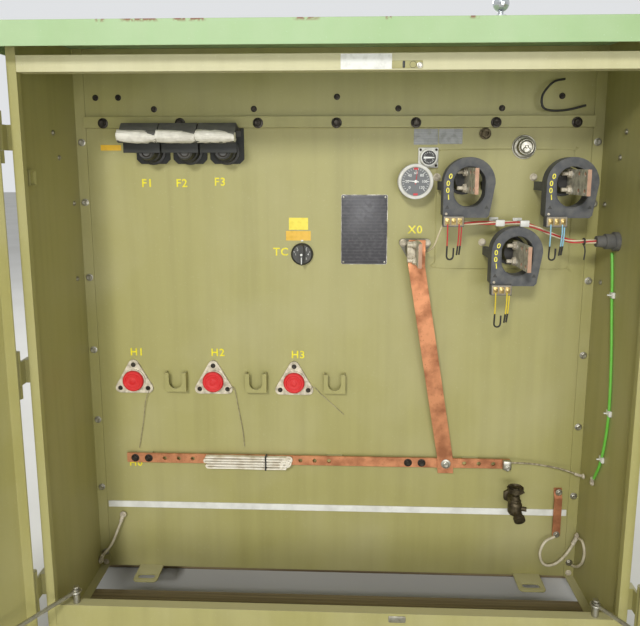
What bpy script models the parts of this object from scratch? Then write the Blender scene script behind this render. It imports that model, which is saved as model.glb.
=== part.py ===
"""Pad-mounted power transformer with its terminal cabinet open, in metres, +Z up.

The tank's front wall faces -Y. The origin is on the ground, at the middle of the
front timber's underside. Depths in front of the tank wall are called out.
"""
import bpy
import bmesh
from math import asin, cos, degrees, pi, radians, sin
from mathutils import Matrix, Vector

# Inside width of the cabinet. Places across the front are shares of it
CABINET_W = 1.524
# Height of the roof's front edge. Heights above the ground bar follow from it
ROOF_FRONT_Z = 1.714

# Clearances
SEAT = 0.0003
RUN = 0.0006
DOOR_GAP = 0.004

# Timber skids
SKID_H = 0.098
SKID_W = 0.090
SKID_OVERHANG = 0.058
SKID_LENGTH = CABINET_W + 2 * SKID_OVERHANG
SKID_ROUND = 0.006
FRONT_SKID_OUT = 0.160
MIDDLE_SKID_SHARE = 0.2361
REAR_SKID_INSET = 0.120

# Tank
WALL_Y = FRONT_SKID_OUT
BASE_Z = SKID_H + SEAT
TANK_OVERHANG = 0.023
TANK_W = CABINET_W + 2 * TANK_OVERHANG
TANK_D = 0.720
HOOD_H = 0.181
TANK_TOP = ROOF_FRONT_Z - HOOD_H
RAIL_H = 0.032
RAIL_OUT = 0.020
COVER_T = 0.010
COVER_OVERHANG = 0.018
COVER_SET_BACK = 0.012
WELD_DEPTH = 0.010

# Cooling fins on the rear wall
FIN_BANK_GAP = 0.120
FIN_BANK_EDGE = 0.085
FIN_BANK_W = (TANK_W - FIN_BANK_GAP) / 2 - FIN_BANK_EDGE
FIN_Z = 0.250
FIN_TOP_GAP = 0.163
FIN_H = TANK_TOP - FIN_TOP_GAP - FIN_Z
FIN_OUT = 0.230
FIN_T = 0.012
FIN_PITCH = 0.052
FIN_ROOT_T = 0.010

# Terminal cabinet
SHEET = 0.003
CABINET_OUT = 0.370
WALL_FLANGE = 0.030
TOE_FLANGE = 0.026
JAMB = 0.020
JAMB_RETURN = 0.018
ROOF_FRONT_OUT = 0.430
ROOF_SIDE_OVERHANG = 0.036
ROOF_BACK = 0.010
ROOF_BACK_RISE = 0.014
LIP_H = 0.056
HEADER_H = 0.038
HEADER_DROP = 0.104
HEADER_Z = ROOF_FRONT_Z - HEADER_DROP
HEADER_FLANGE = 0.035
SILL_TOP = 0.230
SILL_FLANGE = 0.028
SILL_RETURN = 0.014

# Doors
DOOR_T = 0.040
DOOR_BOTTOM = 0.120
DOOR_BELOW_HEADER = 0.002
DOOR_TOP = HEADER_Z + HEADER_H - DOOR_BELOW_HEADER
DOOR_OPEN = 115.0
MEETING_GAP = 0.008
HINGE_R = 0.009
HINGE_L = 0.060
KNUCKLE_L = 0.030
HINGE_OUTSIDE = 0.016
LEAF_T = 0.006
LEAF_LAP = 0.032
HINGE_AHEAD = 0.027
DOOR_BEHIND_PIN = 0.019
HINGE_HEIGHTS = (0.286, 0.5134 * ROOF_FRONT_Z, ROOF_FRONT_Z - 0.254)

# Door stays
STAY_R = 0.0055
STAY_Z = 0.262
STAY_FROM_HINGE = 0.092
STAY_ON_DOOR = 0.190
STAY_POST_R = 0.009
STAY_DOOR_GAP = 0.013

# Ground bar and strip
BAR_X = (-0.4291 * CABINET_W, 0.3550 * CABINET_W)
BAR_Z = 0.4835
BAR_H = 0.030
BAR_T = 0.006
BAR_OUT = 0.012
BAR_PADS_X = (-0.3937 * CABINET_W, 0.0, 0.2756 * CABINET_W)
BAR_PAD_W = 0.050
BAR_HOLE_R = 0.0065
BAR_HOLE_PITCH = 0.0445
BAR_HOLE_GROUPS = (-0.3215 * CABINET_W, -0.0407 * CABINET_W, 0.2927 * CABINET_W)
STRIP_Z = 0.317
STRIP_H = 0.021
STRIP_T = 0.004
STRIP_GAP = 0.004

# High-voltage side
HV_X = tuple(share * CABINET_W for share in (-0.4094, -0.2461, -0.0820))
HV_Z = 0.47945 * TANK_TOP
HV_BOLT_R = 0.050
HV_FLANGE_CORNER = 0.0155
HV_FLANGE_T = 0.008
HV_COLLAR_R = 0.036
HV_COLLAR_OUT = 0.012
CAP_R = 0.032
CAP_OUT = 0.010
STAND_X = tuple(share * CABINET_W for share in (-0.32152, -0.15846, -0.00033))
STAND_W = 0.066
STAND_H = 0.060
STAND_OUT = 0.025
STAND_T = 0.005
STAND_SLOT = 0.040
STAND_SLOT_FOOT = 0.010
FUSE_X = tuple(share * CABINET_W for share in (-0.35105, -0.27953, -0.20801))
FUSE_Z = TANK_TOP - 0.100
FUSE_TUBE_R = 0.025
FUSE_FLANGE_R = 0.038
FUSE_OUT = 0.070
GUARD_GAP = 0.003
GUARD_W = FUSE_X[2] - FUSE_X[1] - GUARD_GAP
GUARD_LEFT_OF_FUSE = 0.0115
GUARD_OUT = 0.128
GUARD_Z = TANK_TOP - 0.055
GUARD_H = 0.018
GUARD_CREST = 0.033
GUARD_CREST_OUT = 0.084
GUARD_T = 0.004
GUARD_ROLL_R = 0.017

# Low-voltage side
LV_XZ = ((0.1538714 * CABINET_W, TANK_TOP - 0.384), (0.2408136 * CABINET_W, TANK_TOP - 0.179),
         (0.3359580 * CABINET_W, TANK_TOP - 0.383), (0.4278215 * CABINET_W, TANK_TOP - 0.183))
LV_FLANGE_R = 0.044
LV_FLANGE_T = 0.010
LV_BUSHING_R = 0.030
LV_BUSHING_OUT = 0.062
NEUTRAL_BOLT_R = 0.040
NEUTRAL_CORNER = 0.012
NEUTRAL_BUSHING_R = 0.024
NEUTRAL_NECK_R = 0.010
SPADE_T = 0.010
SPADE_H = 0.068
SPADE_LAP = 0.004
SPADE_END_OUT = (0.150, 0.215, 0.215, 0.215)
SPADE_HOLE_R = 0.0071
SPADE_HOLE_PITCH = 0.04445
SPADE_HOLE_INSET = 0.016
CT_W = 0.140
CT_TOP = 0.0803
CT_FLOOR = 0.084
CT_SHIFTS = ((-0.001, -0.0175), (-0.0085, -0.003), (-0.009, -0.0135))
CT_WINDOW = (0.086, 0.110)
CT_TAPER = 0.014
CT_CORNER = 0.007
CT_BACK_OUT = 0.080
CT_FRONT_OUT = 0.124
CT_FOOT_W = 0.014
CT_FOOT_H = 0.024
CT_BLOCK = (0.056, 0.030, 0.026)
CT_BLOCK_LAP = 0.006

# Gauges and fittings
DIAL_XZ = (-0.06496 * CABINET_W, TANK_TOP - 0.400)
DIAL_R = 0.033
DIAL_OUT = 0.012
TAP_HANDLE_L = 0.060
TAP_HANDLE_W = 0.013
TAP_HANDLE_OUT = 0.026
THERMO_R = 0.050
THERMO_GAP = 0.020
THERMO_XZ = (LV_XZ[1][0] - CT_W / 2 - THERMO_GAP - THERMO_R, TANK_TOP - 0.184)
THERMO_CASE_T = 0.028
THERMO_STEM_R = 0.020
THERMO_STEM_OUT = 0.030
GAUGE_BESIDE = 0.040
GAUGE_ABOVE = 0.067
GAUGE_XZ = (THERMO_XZ[0] + GAUGE_BESIDE, THERMO_XZ[1] + GAUGE_ABOVE)
GAUGE_SIDE = 0.058
GAUGE_PLATE_T = 0.007
GAUGE_R = 0.025
GAUGE_OUT = 0.020
RELIEF_XZ = (0.3543 * CABINET_W, TANK_TOP - 0.087)
RELIEF_R = 0.030
RELIEF_OUT = 0.030

# Ball stud on the roof
BALL_X = 0.24081 * CABINET_W
BALL_OUT = 0.400
BALL_R = 0.018
BALL_UP = 0.029
BALL_STEM_R = 0.006
BALL_BASE = (0.015, 0.003)

# Drain valve
VALVE_XZ = (0.36155 * CABINET_W, 0.374)
VALVE_OUT = 0.060
VALVE_PIPE_R = 0.014
VALVE_BODY_R = 0.021
VALVE_BODY_H = 0.060
VALVE_STEM_R = 0.006
VALVE_STEM_H = 0.012
VALVE_HANDLE_L = 0.046
VALVE_HANDLE_W = 0.013
VALVE_HANDLE_H = 0.014

# Copper straps, wires and the fitting in the right wall
STRAP_W = 0.048
STRAP_T = 0.004
NEUTRAL_FOOT_X = 0.2257 * CABINET_W
DOWN_STRAP_X = 0.45735 * CABINET_W
DOWN_STRAP_W = 0.024
DOWN_STRAP_Z = (0.245, 0.400)
DOWN_STRAP_OUT = 0.010
BUNDLE_X = (-0.2638 * CABINET_W, -0.0886 * CABINET_W)
BUNDLE_H = 0.044
BUNDLE_T = 0.016
BUNDLE_SAG = 0.004
FITTING_OUT = 0.150
FITTING_Z = LV_XZ[2][1] + 0.042
FITTING_R = 0.021
FITTING_L = 0.058
WIRE_R = 0.004
LEADS_R = 0.006
LEADS_GAP = 0.0015
ROUTE_STEP = 0.015
# The green wire's way down the wall, as shares of FITTING_OUT and of GREEN_DROP
GREEN_END_RISE = 0.0065
GREEN_DROP = FITTING_Z - BAR_Z - GREEN_END_RISE
GREEN_ROUTE = ((0.853, 0.047), (0.933, 0.131), (1.0, 0.231), (1.173, 0.473), (1.233, 0.674), (1.147, 0.815),
               (1.0, 0.915), (0.773, 1.0))
# Bare drain wires from the wells' right lower bolts, as (across, ahead of the flange's face, up)
DRAIN_WIRE_R = 0.001
DRAIN_OUT = SEAT + HV_FLANGE_T + SEAT + DRAIN_WIRE_R
DRAIN_STEP = 0.006
DRAIN_ROUTES = (((0.003, 0.0, -0.004), (0.001, 0.0, -0.014), (-0.009, -0.0006, -0.040),
                 (-0.022, -0.0036, -0.120), (-0.037, -0.0036, -0.198)),
                ((0.005, 0.0, 0.0), (0.017, 0.0011, 0.008), (0.024, 0.0004, -0.008), (0.033, -0.0026, -0.066),
                 (0.044, -0.0036, -0.131), (0.049, -0.0036, -0.188)),
                ((0.005, 0.0, 0.0), (0.014, 0.0011, 0.012), (0.026, 0.0004, 0.004), (0.040, -0.0026, -0.013),
                 (0.068, -0.0036, -0.039), (0.110, -0.0036, -0.078)))
ROUND_SIDES = 24


# The scene starts empty
for old in list(bpy.data.objects):
    bpy.data.objects.remove(old, do_unlink=True)


def material(name, colour, roughness, metallic=0.0):
    """A Principled material, colour in linear RGB."""
    made = bpy.data.materials.new(name)
    made.use_nodes = True
    shader = made.node_tree.nodes["Principled BSDF"]
    shader.inputs["Base Color"].default_value = (*colour, 1.0)
    shader.inputs["Roughness"].default_value = roughness
    shader.inputs["Metallic"].default_value = metallic
    return made


GREEN_PAINT = material("green_paint", (0.30, 0.30, 0.12), 0.45)
ROOF_PAINT = material("roof_paint", (0.42, 0.58, 0.36), 0.45)
TIMBER = material("timber", (0.28, 0.22, 0.13), 0.85)
COPPER = material("copper", (0.55, 0.27, 0.15), 0.40, 1.0)
TINNED = material("tinned_copper", (0.62, 0.60, 0.55), 0.35, 1.0)
ALUMINIUM = material("aluminium", (0.75, 0.76, 0.74), 0.40, 1.0)
STEEL = material("steel", (0.55, 0.55, 0.53), 0.35, 1.0)
RED_CAP = material("red_cap", (0.60, 0.03, 0.03), 0.45)
BLACK = material("black_plastic", (0.03, 0.03, 0.03), 0.5)
MOULDED = material("grey_moulding", (0.14, 0.15, 0.15), 0.55)
WHITE = material("white_plastic", (0.80, 0.80, 0.76), 0.5)
BRONZE = material("bronze", (0.16, 0.13, 0.08), 0.5, 1.0)
GREEN_WIRE = material("green_insulation", (0.10, 0.42, 0.10), 0.45)
RED_WIRE = material("red_insulation", (0.60, 0.12, 0.10), 0.5)
STRAP_WHITE = material("white_strap", (0.78, 0.75, 0.66), 0.6)


def out(distance):
    """World Y of a point that far in front of the tank's wall."""
    return WALL_Y - distance


def finish(obj, skin, smooth=False):
    obj.data.materials.append(skin)
    for face in obj.data.polygons:
        face.use_smooth = smooth
    return obj


def mesh_object(name, bm, skin, smooth=False):
    """The bmesh as an object, its faces turned outward."""
    bmesh.ops.recalc_face_normals(bm, faces=bm.faces)
    data = bpy.data.meshes.new(name)
    bm.to_mesh(data)
    bm.free()
    obj = bpy.data.objects.new(name, data)
    bpy.context.collection.objects.link(obj)
    return finish(obj, skin, smooth)


def block(name, low, high, skin, rounding=0.0):
    """A box between two corners, its edges eased by a Bevel where asked."""
    bm = bmesh.new()
    bmesh.ops.create_cube(bm, size=1.0)
    size = Vector(high) - Vector(low)
    middle = (Vector(high) + Vector(low)) / 2
    bmesh.ops.scale(bm, vec=size, verts=bm.verts)
    bmesh.ops.translate(bm, vec=middle, verts=bm.verts)
    obj = mesh_object(name, bm, skin)
    if rounding:
        ease = obj.modifiers.new("ease", "BEVEL")
        ease.width = rounding
        ease.segments = 1
    return obj


def prism(name, outline, place, length, skin):
    """An outline of 2-D points, laid by place(u, v, w), extruded along w."""
    bm = bmesh.new()
    ends = [bm.verts.new(place(u, v, 0.0)) for u, v in outline]
    face = bm.faces.new(ends)
    grown = bmesh.ops.extrude_face_region(bm, geom=[face])
    moved = [item for item in grown["geom"] if isinstance(item, bmesh.types.BMVert)]
    shift = Vector(place(0.0, 0.0, length)) - Vector(place(0.0, 0.0, 0.0))
    bmesh.ops.translate(bm, vec=shift, verts=moved)
    return mesh_object(name, bm, skin)


def folded(path, thickness):
    """The outline of a sheet folded along a 2-D path, its stock on the left."""
    points = [Vector(point) for point in path]
    inner = []
    for index, point in enumerate(points):
        before = points[index] - points[index - 1] if index else None
        after = points[index + 1] - point if index + 1 < len(points) else None
        sides = [Vector((-run.y, run.x)).normalized() for run in (before, after) if run]
        mitre = sum(sides, Vector((0.0, 0.0)))
        reach = thickness / (mitre.normalized().dot(sides[0]))
        inner.append(point + mitre.normalized() * reach)
    return [tuple(point) for point in points + inner[::-1]]


def arc(centre, radius, start, end, steps):
    """Points of an arc, degrees counted from the first axis to the second."""
    turn = [radians(start + (end - start) * step / steps) for step in range(steps + 1)]
    return [(centre[0] + radius * cos(a), centre[1] + radius * sin(a)) for a in turn]


def lathe(name, profile, origin, axis, skin, sides=ROUND_SIDES):
    """A closed profile of (along, radius) points turned about an axis."""
    bm = bmesh.new()
    along, across = axis_frame(axis)
    ring = [bm.verts.new(Vector(origin) + along * a + across * r) for a, r in profile]
    edges = [bm.edges.new((ring[i], ring[i + 1])) for i in range(len(ring) - 1)]
    bmesh.ops.spin(bm, geom=ring + edges, cent=origin, axis=along, angle=2 * pi, steps=sides,
                   use_duplicate=False)
    bmesh.ops.remove_doubles(bm, verts=bm.verts, dist=0.00002)
    obj = mesh_object(name, bm, skin, True)
    sharp_edges(obj)
    return obj


def sharp_edges(obj, angle=35.0):
    """Edges that turn by more than the angle stay crisp under smooth shading."""
    bm = bmesh.new()
    bm.from_mesh(obj.data)
    for edge in bm.edges:
        if len(edge.link_faces) == 2:
            edge.smooth = edge.calc_face_angle() < radians(angle)
    bm.to_mesh(obj.data)
    bm.free()


def axis_frame(axis):
    along = Vector(axis).normalized()
    across = along.orthogonal().normalized()
    return along, across


def join(target, *others):
    """Fuse closed solids into the target with exact Booleans."""
    for other in others:
        step = target.modifiers.new("fuse_" + other.name, "BOOLEAN")
        step.operation = "UNION"
        step.object = other
        helper(other)
    return target


def cut(target, *others):
    for other in others:
        step = target.modifiers.new("cut_" + other.name, "BOOLEAN")
        step.operation = "DIFFERENCE"
        step.object = other
        helper(other)
    return target


def helper(obj):
    obj.hide_render = True
    obj.display_type = "WIRE"
    obj.hide_set(True)


def bake(obj):
    """Apply the modifiers, and drop the helpers that they used."""
    used = [step.object for step in obj.modifiers if step.type == "BOOLEAN"]
    graph = bpy.context.evaluated_depsgraph_get()
    shaped = bpy.data.meshes.new_from_object(obj.evaluated_get(graph))
    obj.modifiers.clear()
    obj.data = shaped
    for tool in used:
        bpy.data.objects.remove(tool, do_unlink=True)
    return obj


def tube(name, points, radius, skin, resolution=2):
    """A round wire through the points, with filled caps."""
    curve = bpy.data.curves.new(name, "CURVE")
    curve.dimensions = "3D"
    curve.bevel_depth = radius
    curve.bevel_resolution = resolution
    curve.use_fill_caps = True
    line = curve.splines.new("POLY")
    line.points.add(len(points) - 1)
    for spot, point in zip(line.points, points):
        spot.co = (*point, 1.0)
    obj = bpy.data.objects.new(name, curve)
    bpy.context.collection.objects.link(obj)
    curve.materials.append(skin)
    return obj


def smooth_route(corners, spacing):
    """Evenly spaced points on a Catmull-Rom curve through the corners."""
    spots = [Vector(corner) for corner in corners]
    padded = [2 * spots[0] - spots[1]] + spots + [2 * spots[-1] - spots[-2]]
    fine = []
    for index in range(len(spots) - 1):
        a, b, c, d = padded[index:index + 4]
        for step in range(40):
            t = step / 40
            fine.append(0.5 * (2 * b + (c - a) * t + (2 * a - 5 * b + 4 * c - d) * t * t
                               + (3 * b - a - 3 * c + d) * t * t * t))
    fine.append(spots[-1])
    whole = sum((fine[i + 1] - fine[i]).length for i in range(len(fine) - 1))
    count = max(2, round(whole / spacing))
    route = [fine[0]]
    walked = 0.0
    for index in range(len(fine) - 1):
        walked += (fine[index + 1] - fine[index]).length
        if walked >= whole * len(route) / count and len(route) < count:
            route.append(fine[index + 1])
    route.append(fine[-1])
    return [tuple(point) for point in route]


def on_wall(u, v, w):
    """Outline in X and Z, extruded out from the wall."""
    return (u, WALL_Y - w, v)


def turned(obj, pivot, angle):
    """Swing an object's mesh about a vertical line and set its origin on it."""
    swing = (Matrix.Translation(Vector(pivot)) @ Matrix.Rotation(radians(angle), 4, "Z")
             @ Matrix.Translation(-Vector(pivot)))
    obj.data.transform(swing)
    set_origin(obj, pivot)
    return obj


def set_origin(obj, pivot):
    obj.data.transform(Matrix.Translation(-Vector(pivot)))
    obj.location = pivot


def make_skids():
    half = SKID_LENGTH / 2
    middles = {"skid_front": 0.0, "skid_middle": WALL_Y + TANK_D * MIDDLE_SKID_SHARE,
               "skid_rear": WALL_Y + TANK_D - REAR_SKID_INSET}
    for name, y in middles.items():
        block(name, (-half, y - SKID_W / 2, 0.0), (half, y + SKID_W / 2, SKID_H), TIMBER, SKID_ROUND)


def make_tank():
    """The sealed tank, with its cover rail in front and welded bar pads."""
    half = TANK_W / 2
    weld = WALL_Y + WELD_DEPTH
    tank = block("tank_body", (-half, WALL_Y, BASE_Z), (half, WALL_Y + TANK_D, TANK_TOP), GREEN_PAINT)
    rail_half = CABINET_W / 2 - WALL_FLANGE - SEAT
    rail = block("rail", (-rail_half, out(RAIL_OUT), TANK_TOP - RAIL_H), (rail_half, weld, TANK_TOP),
                 GREEN_PAINT)
    join(tank, rail)
    for index, x in enumerate(BAR_PADS_X):
        low = (x - BAR_PAD_W / 2, out(BAR_OUT - SEAT), BAR_Z - BAR_H / 2)
        high = (x + BAR_PAD_W / 2, weld, BAR_Z + BAR_H / 2)
        join(tank, block("bar_pad_%d" % index, low, high, GREEN_PAINT))
    bake(tank)
    reach = half + COVER_OVERHANG
    floor = TANK_TOP + SEAT
    block("tank_cover", (-reach, WALL_Y + COVER_SET_BACK, floor),
          (reach, WALL_Y + TANK_D + COVER_OVERHANG, floor + COVER_T), GREEN_PAINT, SHEET)


def make_fins():
    """Two banks of flat cooling fins, each one comb drawn in plan and raised."""
    back = WALL_Y + TANK_D + SEAT
    count = int((FIN_BANK_W - FIN_T) / FIN_PITCH) + 1
    start = (FIN_BANK_W - (count - 1) * FIN_PITCH - FIN_T) / 2
    for name, side in (("fin_bank_left", -1), ("fin_bank_right", 1)):
        left = side * (FIN_BANK_W + FIN_BANK_GAP) / 2 - FIN_BANK_W / 2
        comb = [(left, back)]
        root = back + FIN_ROOT_T
        comb.append((left, root))
        for index in range(count):
            x = left + start + index * FIN_PITCH
            comb += [(x, root), (x, root + FIN_OUT - FIN_T / 2), (x + FIN_T / 2, root + FIN_OUT)]
            comb += [(x + FIN_T, root + FIN_OUT - FIN_T / 2), (x + FIN_T, root)]
        comb += [(left + FIN_BANK_W, root), (left + FIN_BANK_W, back)]
        prism(name, comb, lambda u, v, w: (u, v, FIN_Z + w), FIN_H, GREEN_PAINT)


def make_cabinet_sides():
    """Folded side walls: a flange on the tank, the wall and the door jamb."""
    half = CABINET_W / 2
    top = ROOF_FRONT_Z - SHEET - SEAT
    for name, side in (("cabinet_side_left", -1), ("cabinet_side_right", 1)):
        path = [(half - WALL_FLANGE, SEAT), (half + SHEET, SEAT), (half + SHEET, CABINET_OUT),
                (half + SHEET - JAMB - SHEET, CABINET_OUT), (half - JAMB, CABINET_OUT - JAMB_RETURN)]
        outline = folded(path, SHEET)
        wall = prism(name, outline, lambda u, v, w: (side * u, out(v), BASE_Z + w), top - BASE_Z, GREEN_PAINT)
        for vert in wall.data.vertices:
            if vert.co.z > top - SEAT:
                vert.co.z = roof_underside(vert.co.y) - SEAT
        toe_x = sorted((side * (half - TOE_FLANGE), side * (half + SHEET / 2)))
        join(wall, block("toe_flange", (toe_x[0], out(CABINET_OUT - SILL_FLANGE - DOOR_GAP), BASE_Z),
                         (toe_x[1], out(SHEET / 2), BASE_Z + SHEET), GREEN_PAINT))
        pin = hinge_pin(side)
        for index, height in enumerate(HINGE_HEIGHTS):
            barrel = lathe("barrel_%d" % index, solid_rod(HINGE_R, HINGE_L),
                           (pin[0], pin[1], height - HINGE_L / 2), (0, 0, 1), STEEL, 12)
            arm_x = sorted((pin[0] - side * LEAF_T / 2, pin[0] + side * LEAF_T / 2))
            foot_x = sorted((side * (half + SHEET / 2), pin[0] + side * LEAF_T / 2))
            low, high = height - HINGE_L / 2, height + HINGE_L / 2
            rear = out(CABINET_OUT - LEAF_LAP)
            arm = block("arm_%d" % index, (arm_x[0], pin[1], low), (arm_x[1], rear, high), STEEL)
            foot = block("foot_%d" % index, (foot_x[0], out(CABINET_OUT - LEAF_T), low),
                         (foot_x[1], rear, high), STEEL)
            join(wall, barrel, arm, foot)
        bake(wall)


def hinge_pin(side):
    return (side * (CABINET_W / 2 + SHEET + HINGE_OUTSIDE), out(CABINET_OUT + HINGE_AHEAD))


def solid_rod(radius, length):
    """A plain rod's profile, on its axis at both ends."""
    return [(0.0, 0.0), (0.0, radius), (length, radius), (length, 0.0)]


def roof_underside(y):
    """Height of the sloped roof sheet's lower face at that Y."""
    share = (y - out(ROOF_FRONT_OUT)) / (ROOF_FRONT_OUT + ROOF_BACK)
    return ROOF_FRONT_Z - SHEET + ROOF_BACK_RISE * share


def make_roof():
    """A pan turned down at every edge, higher at the back, with the panel behind."""
    half = CABINET_W / 2 + SHEET + ROOF_SIDE_OVERHANG
    front = out(ROOF_FRONT_OUT)
    back = WALL_Y + ROOF_BACK
    bm = bmesh.new()
    bmesh.ops.create_cube(bm, size=1.0)
    bmesh.ops.scale(bm, vec=(2 * half, back - front, LIP_H), verts=bm.verts)
    bmesh.ops.translate(bm, vec=(0, (front + back) / 2, ROOF_FRONT_Z - LIP_H / 2), verts=bm.verts)
    floor = [face for face in bm.faces if face.normal.z < -0.5]
    bmesh.ops.delete(bm, geom=floor, context="FACES_ONLY")
    for vert in bm.verts:
        if vert.co.z > ROOF_FRONT_Z - LIP_H / 2 and vert.co.y > front + LIP_H:
            vert.co.z += ROOF_BACK_RISE
    roof = mesh_object("cabinet_roof", bm, ROOF_PAINT)
    stock = roof.modifiers.new("stock", "SOLIDIFY")
    stock.thickness = SHEET
    stock.offset = -1.0
    stock.use_even_offset = True
    panel_y = WALL_Y + SEAT
    block("hood_back_panel", (-CABINET_W / 2, panel_y, TANK_TOP + SEAT),
          (CABINET_W / 2, panel_y + SHEET, roof_underside(panel_y) - SEAT), GREEN_PAINT)


def make_header():
    half = CABINET_W / 2 - JAMB - SEAT
    top = HEADER_Z + HEADER_H
    path = [(CABINET_OUT - HEADER_FLANGE, HEADER_Z), (CABINET_OUT, HEADER_Z), (CABINET_OUT, top),
            (CABINET_OUT - HEADER_FLANGE, top)]
    prism("door_header", folded(path, SHEET), lambda u, v, w: (-half + w, out(u), v), 2 * half, GREEN_PAINT)


def make_sill():
    half = CABINET_W / 2 - JAMB - SEAT
    path = [(CABINET_OUT - SILL_FLANGE, BASE_Z), (CABINET_OUT, BASE_Z), (CABINET_OUT, SILL_TOP),
            (CABINET_OUT - SILL_FLANGE, SILL_TOP), (CABINET_OUT - SILL_FLANGE, SILL_TOP - SILL_RETURN)]
    prism("front_sill", folded(path, SHEET), lambda u, v, w: (-half + w, out(u), v), 2 * half, GREEN_PAINT)


def make_doors():
    """Two pans on pin hinges, drawn closed and swung open about their pins."""
    for name, side in (("door_left", -1), ("door_right", 1)):
        pin = hinge_pin(side)
        near = abs(pin[0]) - HINGE_R - DOOR_GAP
        far = MEETING_GAP / 2
        bm = bmesh.new()
        bmesh.ops.create_cube(bm, size=1.0)
        bmesh.ops.scale(bm, vec=(near - far, DOOR_T, DOOR_TOP - DOOR_BOTTOM), verts=bm.verts)
        middle = (side * (near + far) / 2, pin[1] + DOOR_BEHIND_PIN - DOOR_T / 2, (DOOR_TOP + DOOR_BOTTOM) / 2)
        bmesh.ops.translate(bm, vec=middle, verts=bm.verts)
        inside = [face for face in bm.faces if face.normal.y > 0.5]
        bmesh.ops.delete(bm, geom=inside, context="FACES_ONLY")
        door = mesh_object(name, bm, GREEN_PAINT)
        stock = door.modifiers.new("stock", "SOLIDIFY")
        stock.thickness = SHEET
        stock.offset = -1.0
        stock.use_even_offset = True
        for index, height in enumerate(HINGE_HEIGHTS):
            for level, start in enumerate((height - HINGE_L / 2 - RUN - KNUCKLE_L, height + HINGE_L / 2 + RUN)):
                mark = "%d_%d" % (index, level)
                knuckle = lathe("knuckle_" + mark, solid_rod(HINGE_R, KNUCKLE_L), (pin[0], pin[1], start),
                                (0, 0, 1), STEEL, 12)
                edge = sorted((pin[0], side * (near - 0.0015)))
                leaf = block("door_leaf_" + mark, (edge[0], pin[1] - HINGE_R * 0.6, start),
                             (edge[1], pin[1] - HINGE_R * 0.6 + SHEET, start + KNUCKLE_L), STEEL)
                join(door, knuckle, leaf)
        bake(door)
        turned(door, (pin[0], pin[1], 0.0), side * DOOR_OPEN)


def stay_ends(side):
    """Where a stay turns on the sill, and where it meets its open door."""
    pin = Vector((*hinge_pin(side), 0.0))
    foot = Vector((pin.x - side * STAY_FROM_HINGE, out(CABINET_OUT - SILL_FLANGE / 2), STAY_Z))
    swing = radians(DOOR_OPEN)
    direction = Vector((-side * cos(swing), -sin(swing), 0.0))
    inward = Vector((-side * sin(swing), cos(swing), 0.0))
    head = pin + direction * STAY_ON_DOOR + inward * (DOOR_BEHIND_PIN + STAY_DOOR_GAP)
    return foot, Vector((head.x, head.y, STAY_Z))


def make_stays():
    """Round rods from a post on the sill to the inside of the open door."""
    for name, side in (("door_stay_left", -1), ("door_stay_right", 1)):
        foot, head = stay_ends(side)
        rod = lathe(name, solid_rod(STAY_R, (head - foot).length), foot, head - foot, STEEL, 12)
        hub = lathe("stay_hub", solid_rod(STAY_POST_R, 2 * STAY_R + 0.004), foot - Vector((0, 0, STAY_R + 0.002)),
                    (0, 0, 1), STEEL, 16)
        join(rod, hub)
        bake(rod)
        set_origin(rod, foot)
        post_h = STAY_Z - STAY_R - 0.002 - RUN - SILL_TOP - SEAT
        lathe(name.replace("door_stay", "stay_post"), solid_rod(STAY_POST_R, post_h),
              (foot.x, foot.y, SILL_TOP + SEAT), (0, 0, 1), STEEL, 16)


def make_ground_bar():
    low = (BAR_X[0], out(BAR_OUT + BAR_T), BAR_Z - BAR_H / 2)
    high = (BAR_X[1], out(BAR_OUT), BAR_Z + BAR_H / 2)
    bar = block("ground_bar", low, high, COPPER)
    for group, middle in enumerate(BAR_HOLE_GROUPS):
        for index in (-1, 0, 1):
            x = middle + index * BAR_HOLE_PITCH
            drill = lathe("drill_%d_%d" % (group, index), solid_rod(BAR_HOLE_R, BAR_T + 0.01),
                          (x, out(BAR_OUT - 0.005), BAR_Z), (0, -1, 0), COPPER, 12)
            cut(bar, drill)
    bake(bar)
    half = CABINET_W / 2 - WALL_FLANGE - STRIP_GAP
    block("grounding_strip", (-half, out(SEAT + STRIP_T), STRIP_Z - STRIP_H / 2),
          (half, out(SEAT), STRIP_Z + STRIP_H / 2), ALUMINIUM, STRIP_T / 4)


def rounded_triangle(x, z, radius, corner, upward):
    """Outline of a triangular flange with round corners, apex up or down."""
    outline = []
    for turn in (90, 210, 330) if upward else (270, 30, 150):
        spot = (x + radius * cos(radians(turn)), z + radius * sin(radians(turn)))
        outline += arc(spot, corner, turn - 60, turn + 60, 5)
    return outline


def make_hv_bushings():
    """Bushing wells on triangular flanges, each under its red dust cap."""
    for index, x in enumerate(HV_X):
        mark = "h%d" % (index + 1)
        outline = rounded_triangle(x, HV_Z, HV_BOLT_R, HV_FLANGE_CORNER, True)
        flange = prism("hv_bushing_" + mark, outline, lambda u, v, w: on_wall(u, v, w + SEAT), HV_FLANGE_T, STEEL)
        collar = lathe("collar", solid_rod(HV_COLLAR_R, HV_COLLAR_OUT - 0.002), (x, out(0.002), HV_Z), (0, -1, 0),
                       STEEL)
        join(flange, collar)
        bake(flange)
        start = HV_COLLAR_OUT + SEAT
        shell = [(0.0, 0.0), (0.0, CAP_R), (CAP_OUT * 0.70, CAP_R), (CAP_OUT, CAP_R * 0.90),
                 (CAP_OUT, CAP_R * 0.76), (CAP_OUT * 0.80, CAP_R * 0.70), (CAP_OUT * 0.80, 0.0)]
        lathe("bushing_cap_" + mark, shell, (x, out(start), HV_Z), (0, -1, 0), RED_CAP)


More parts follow.
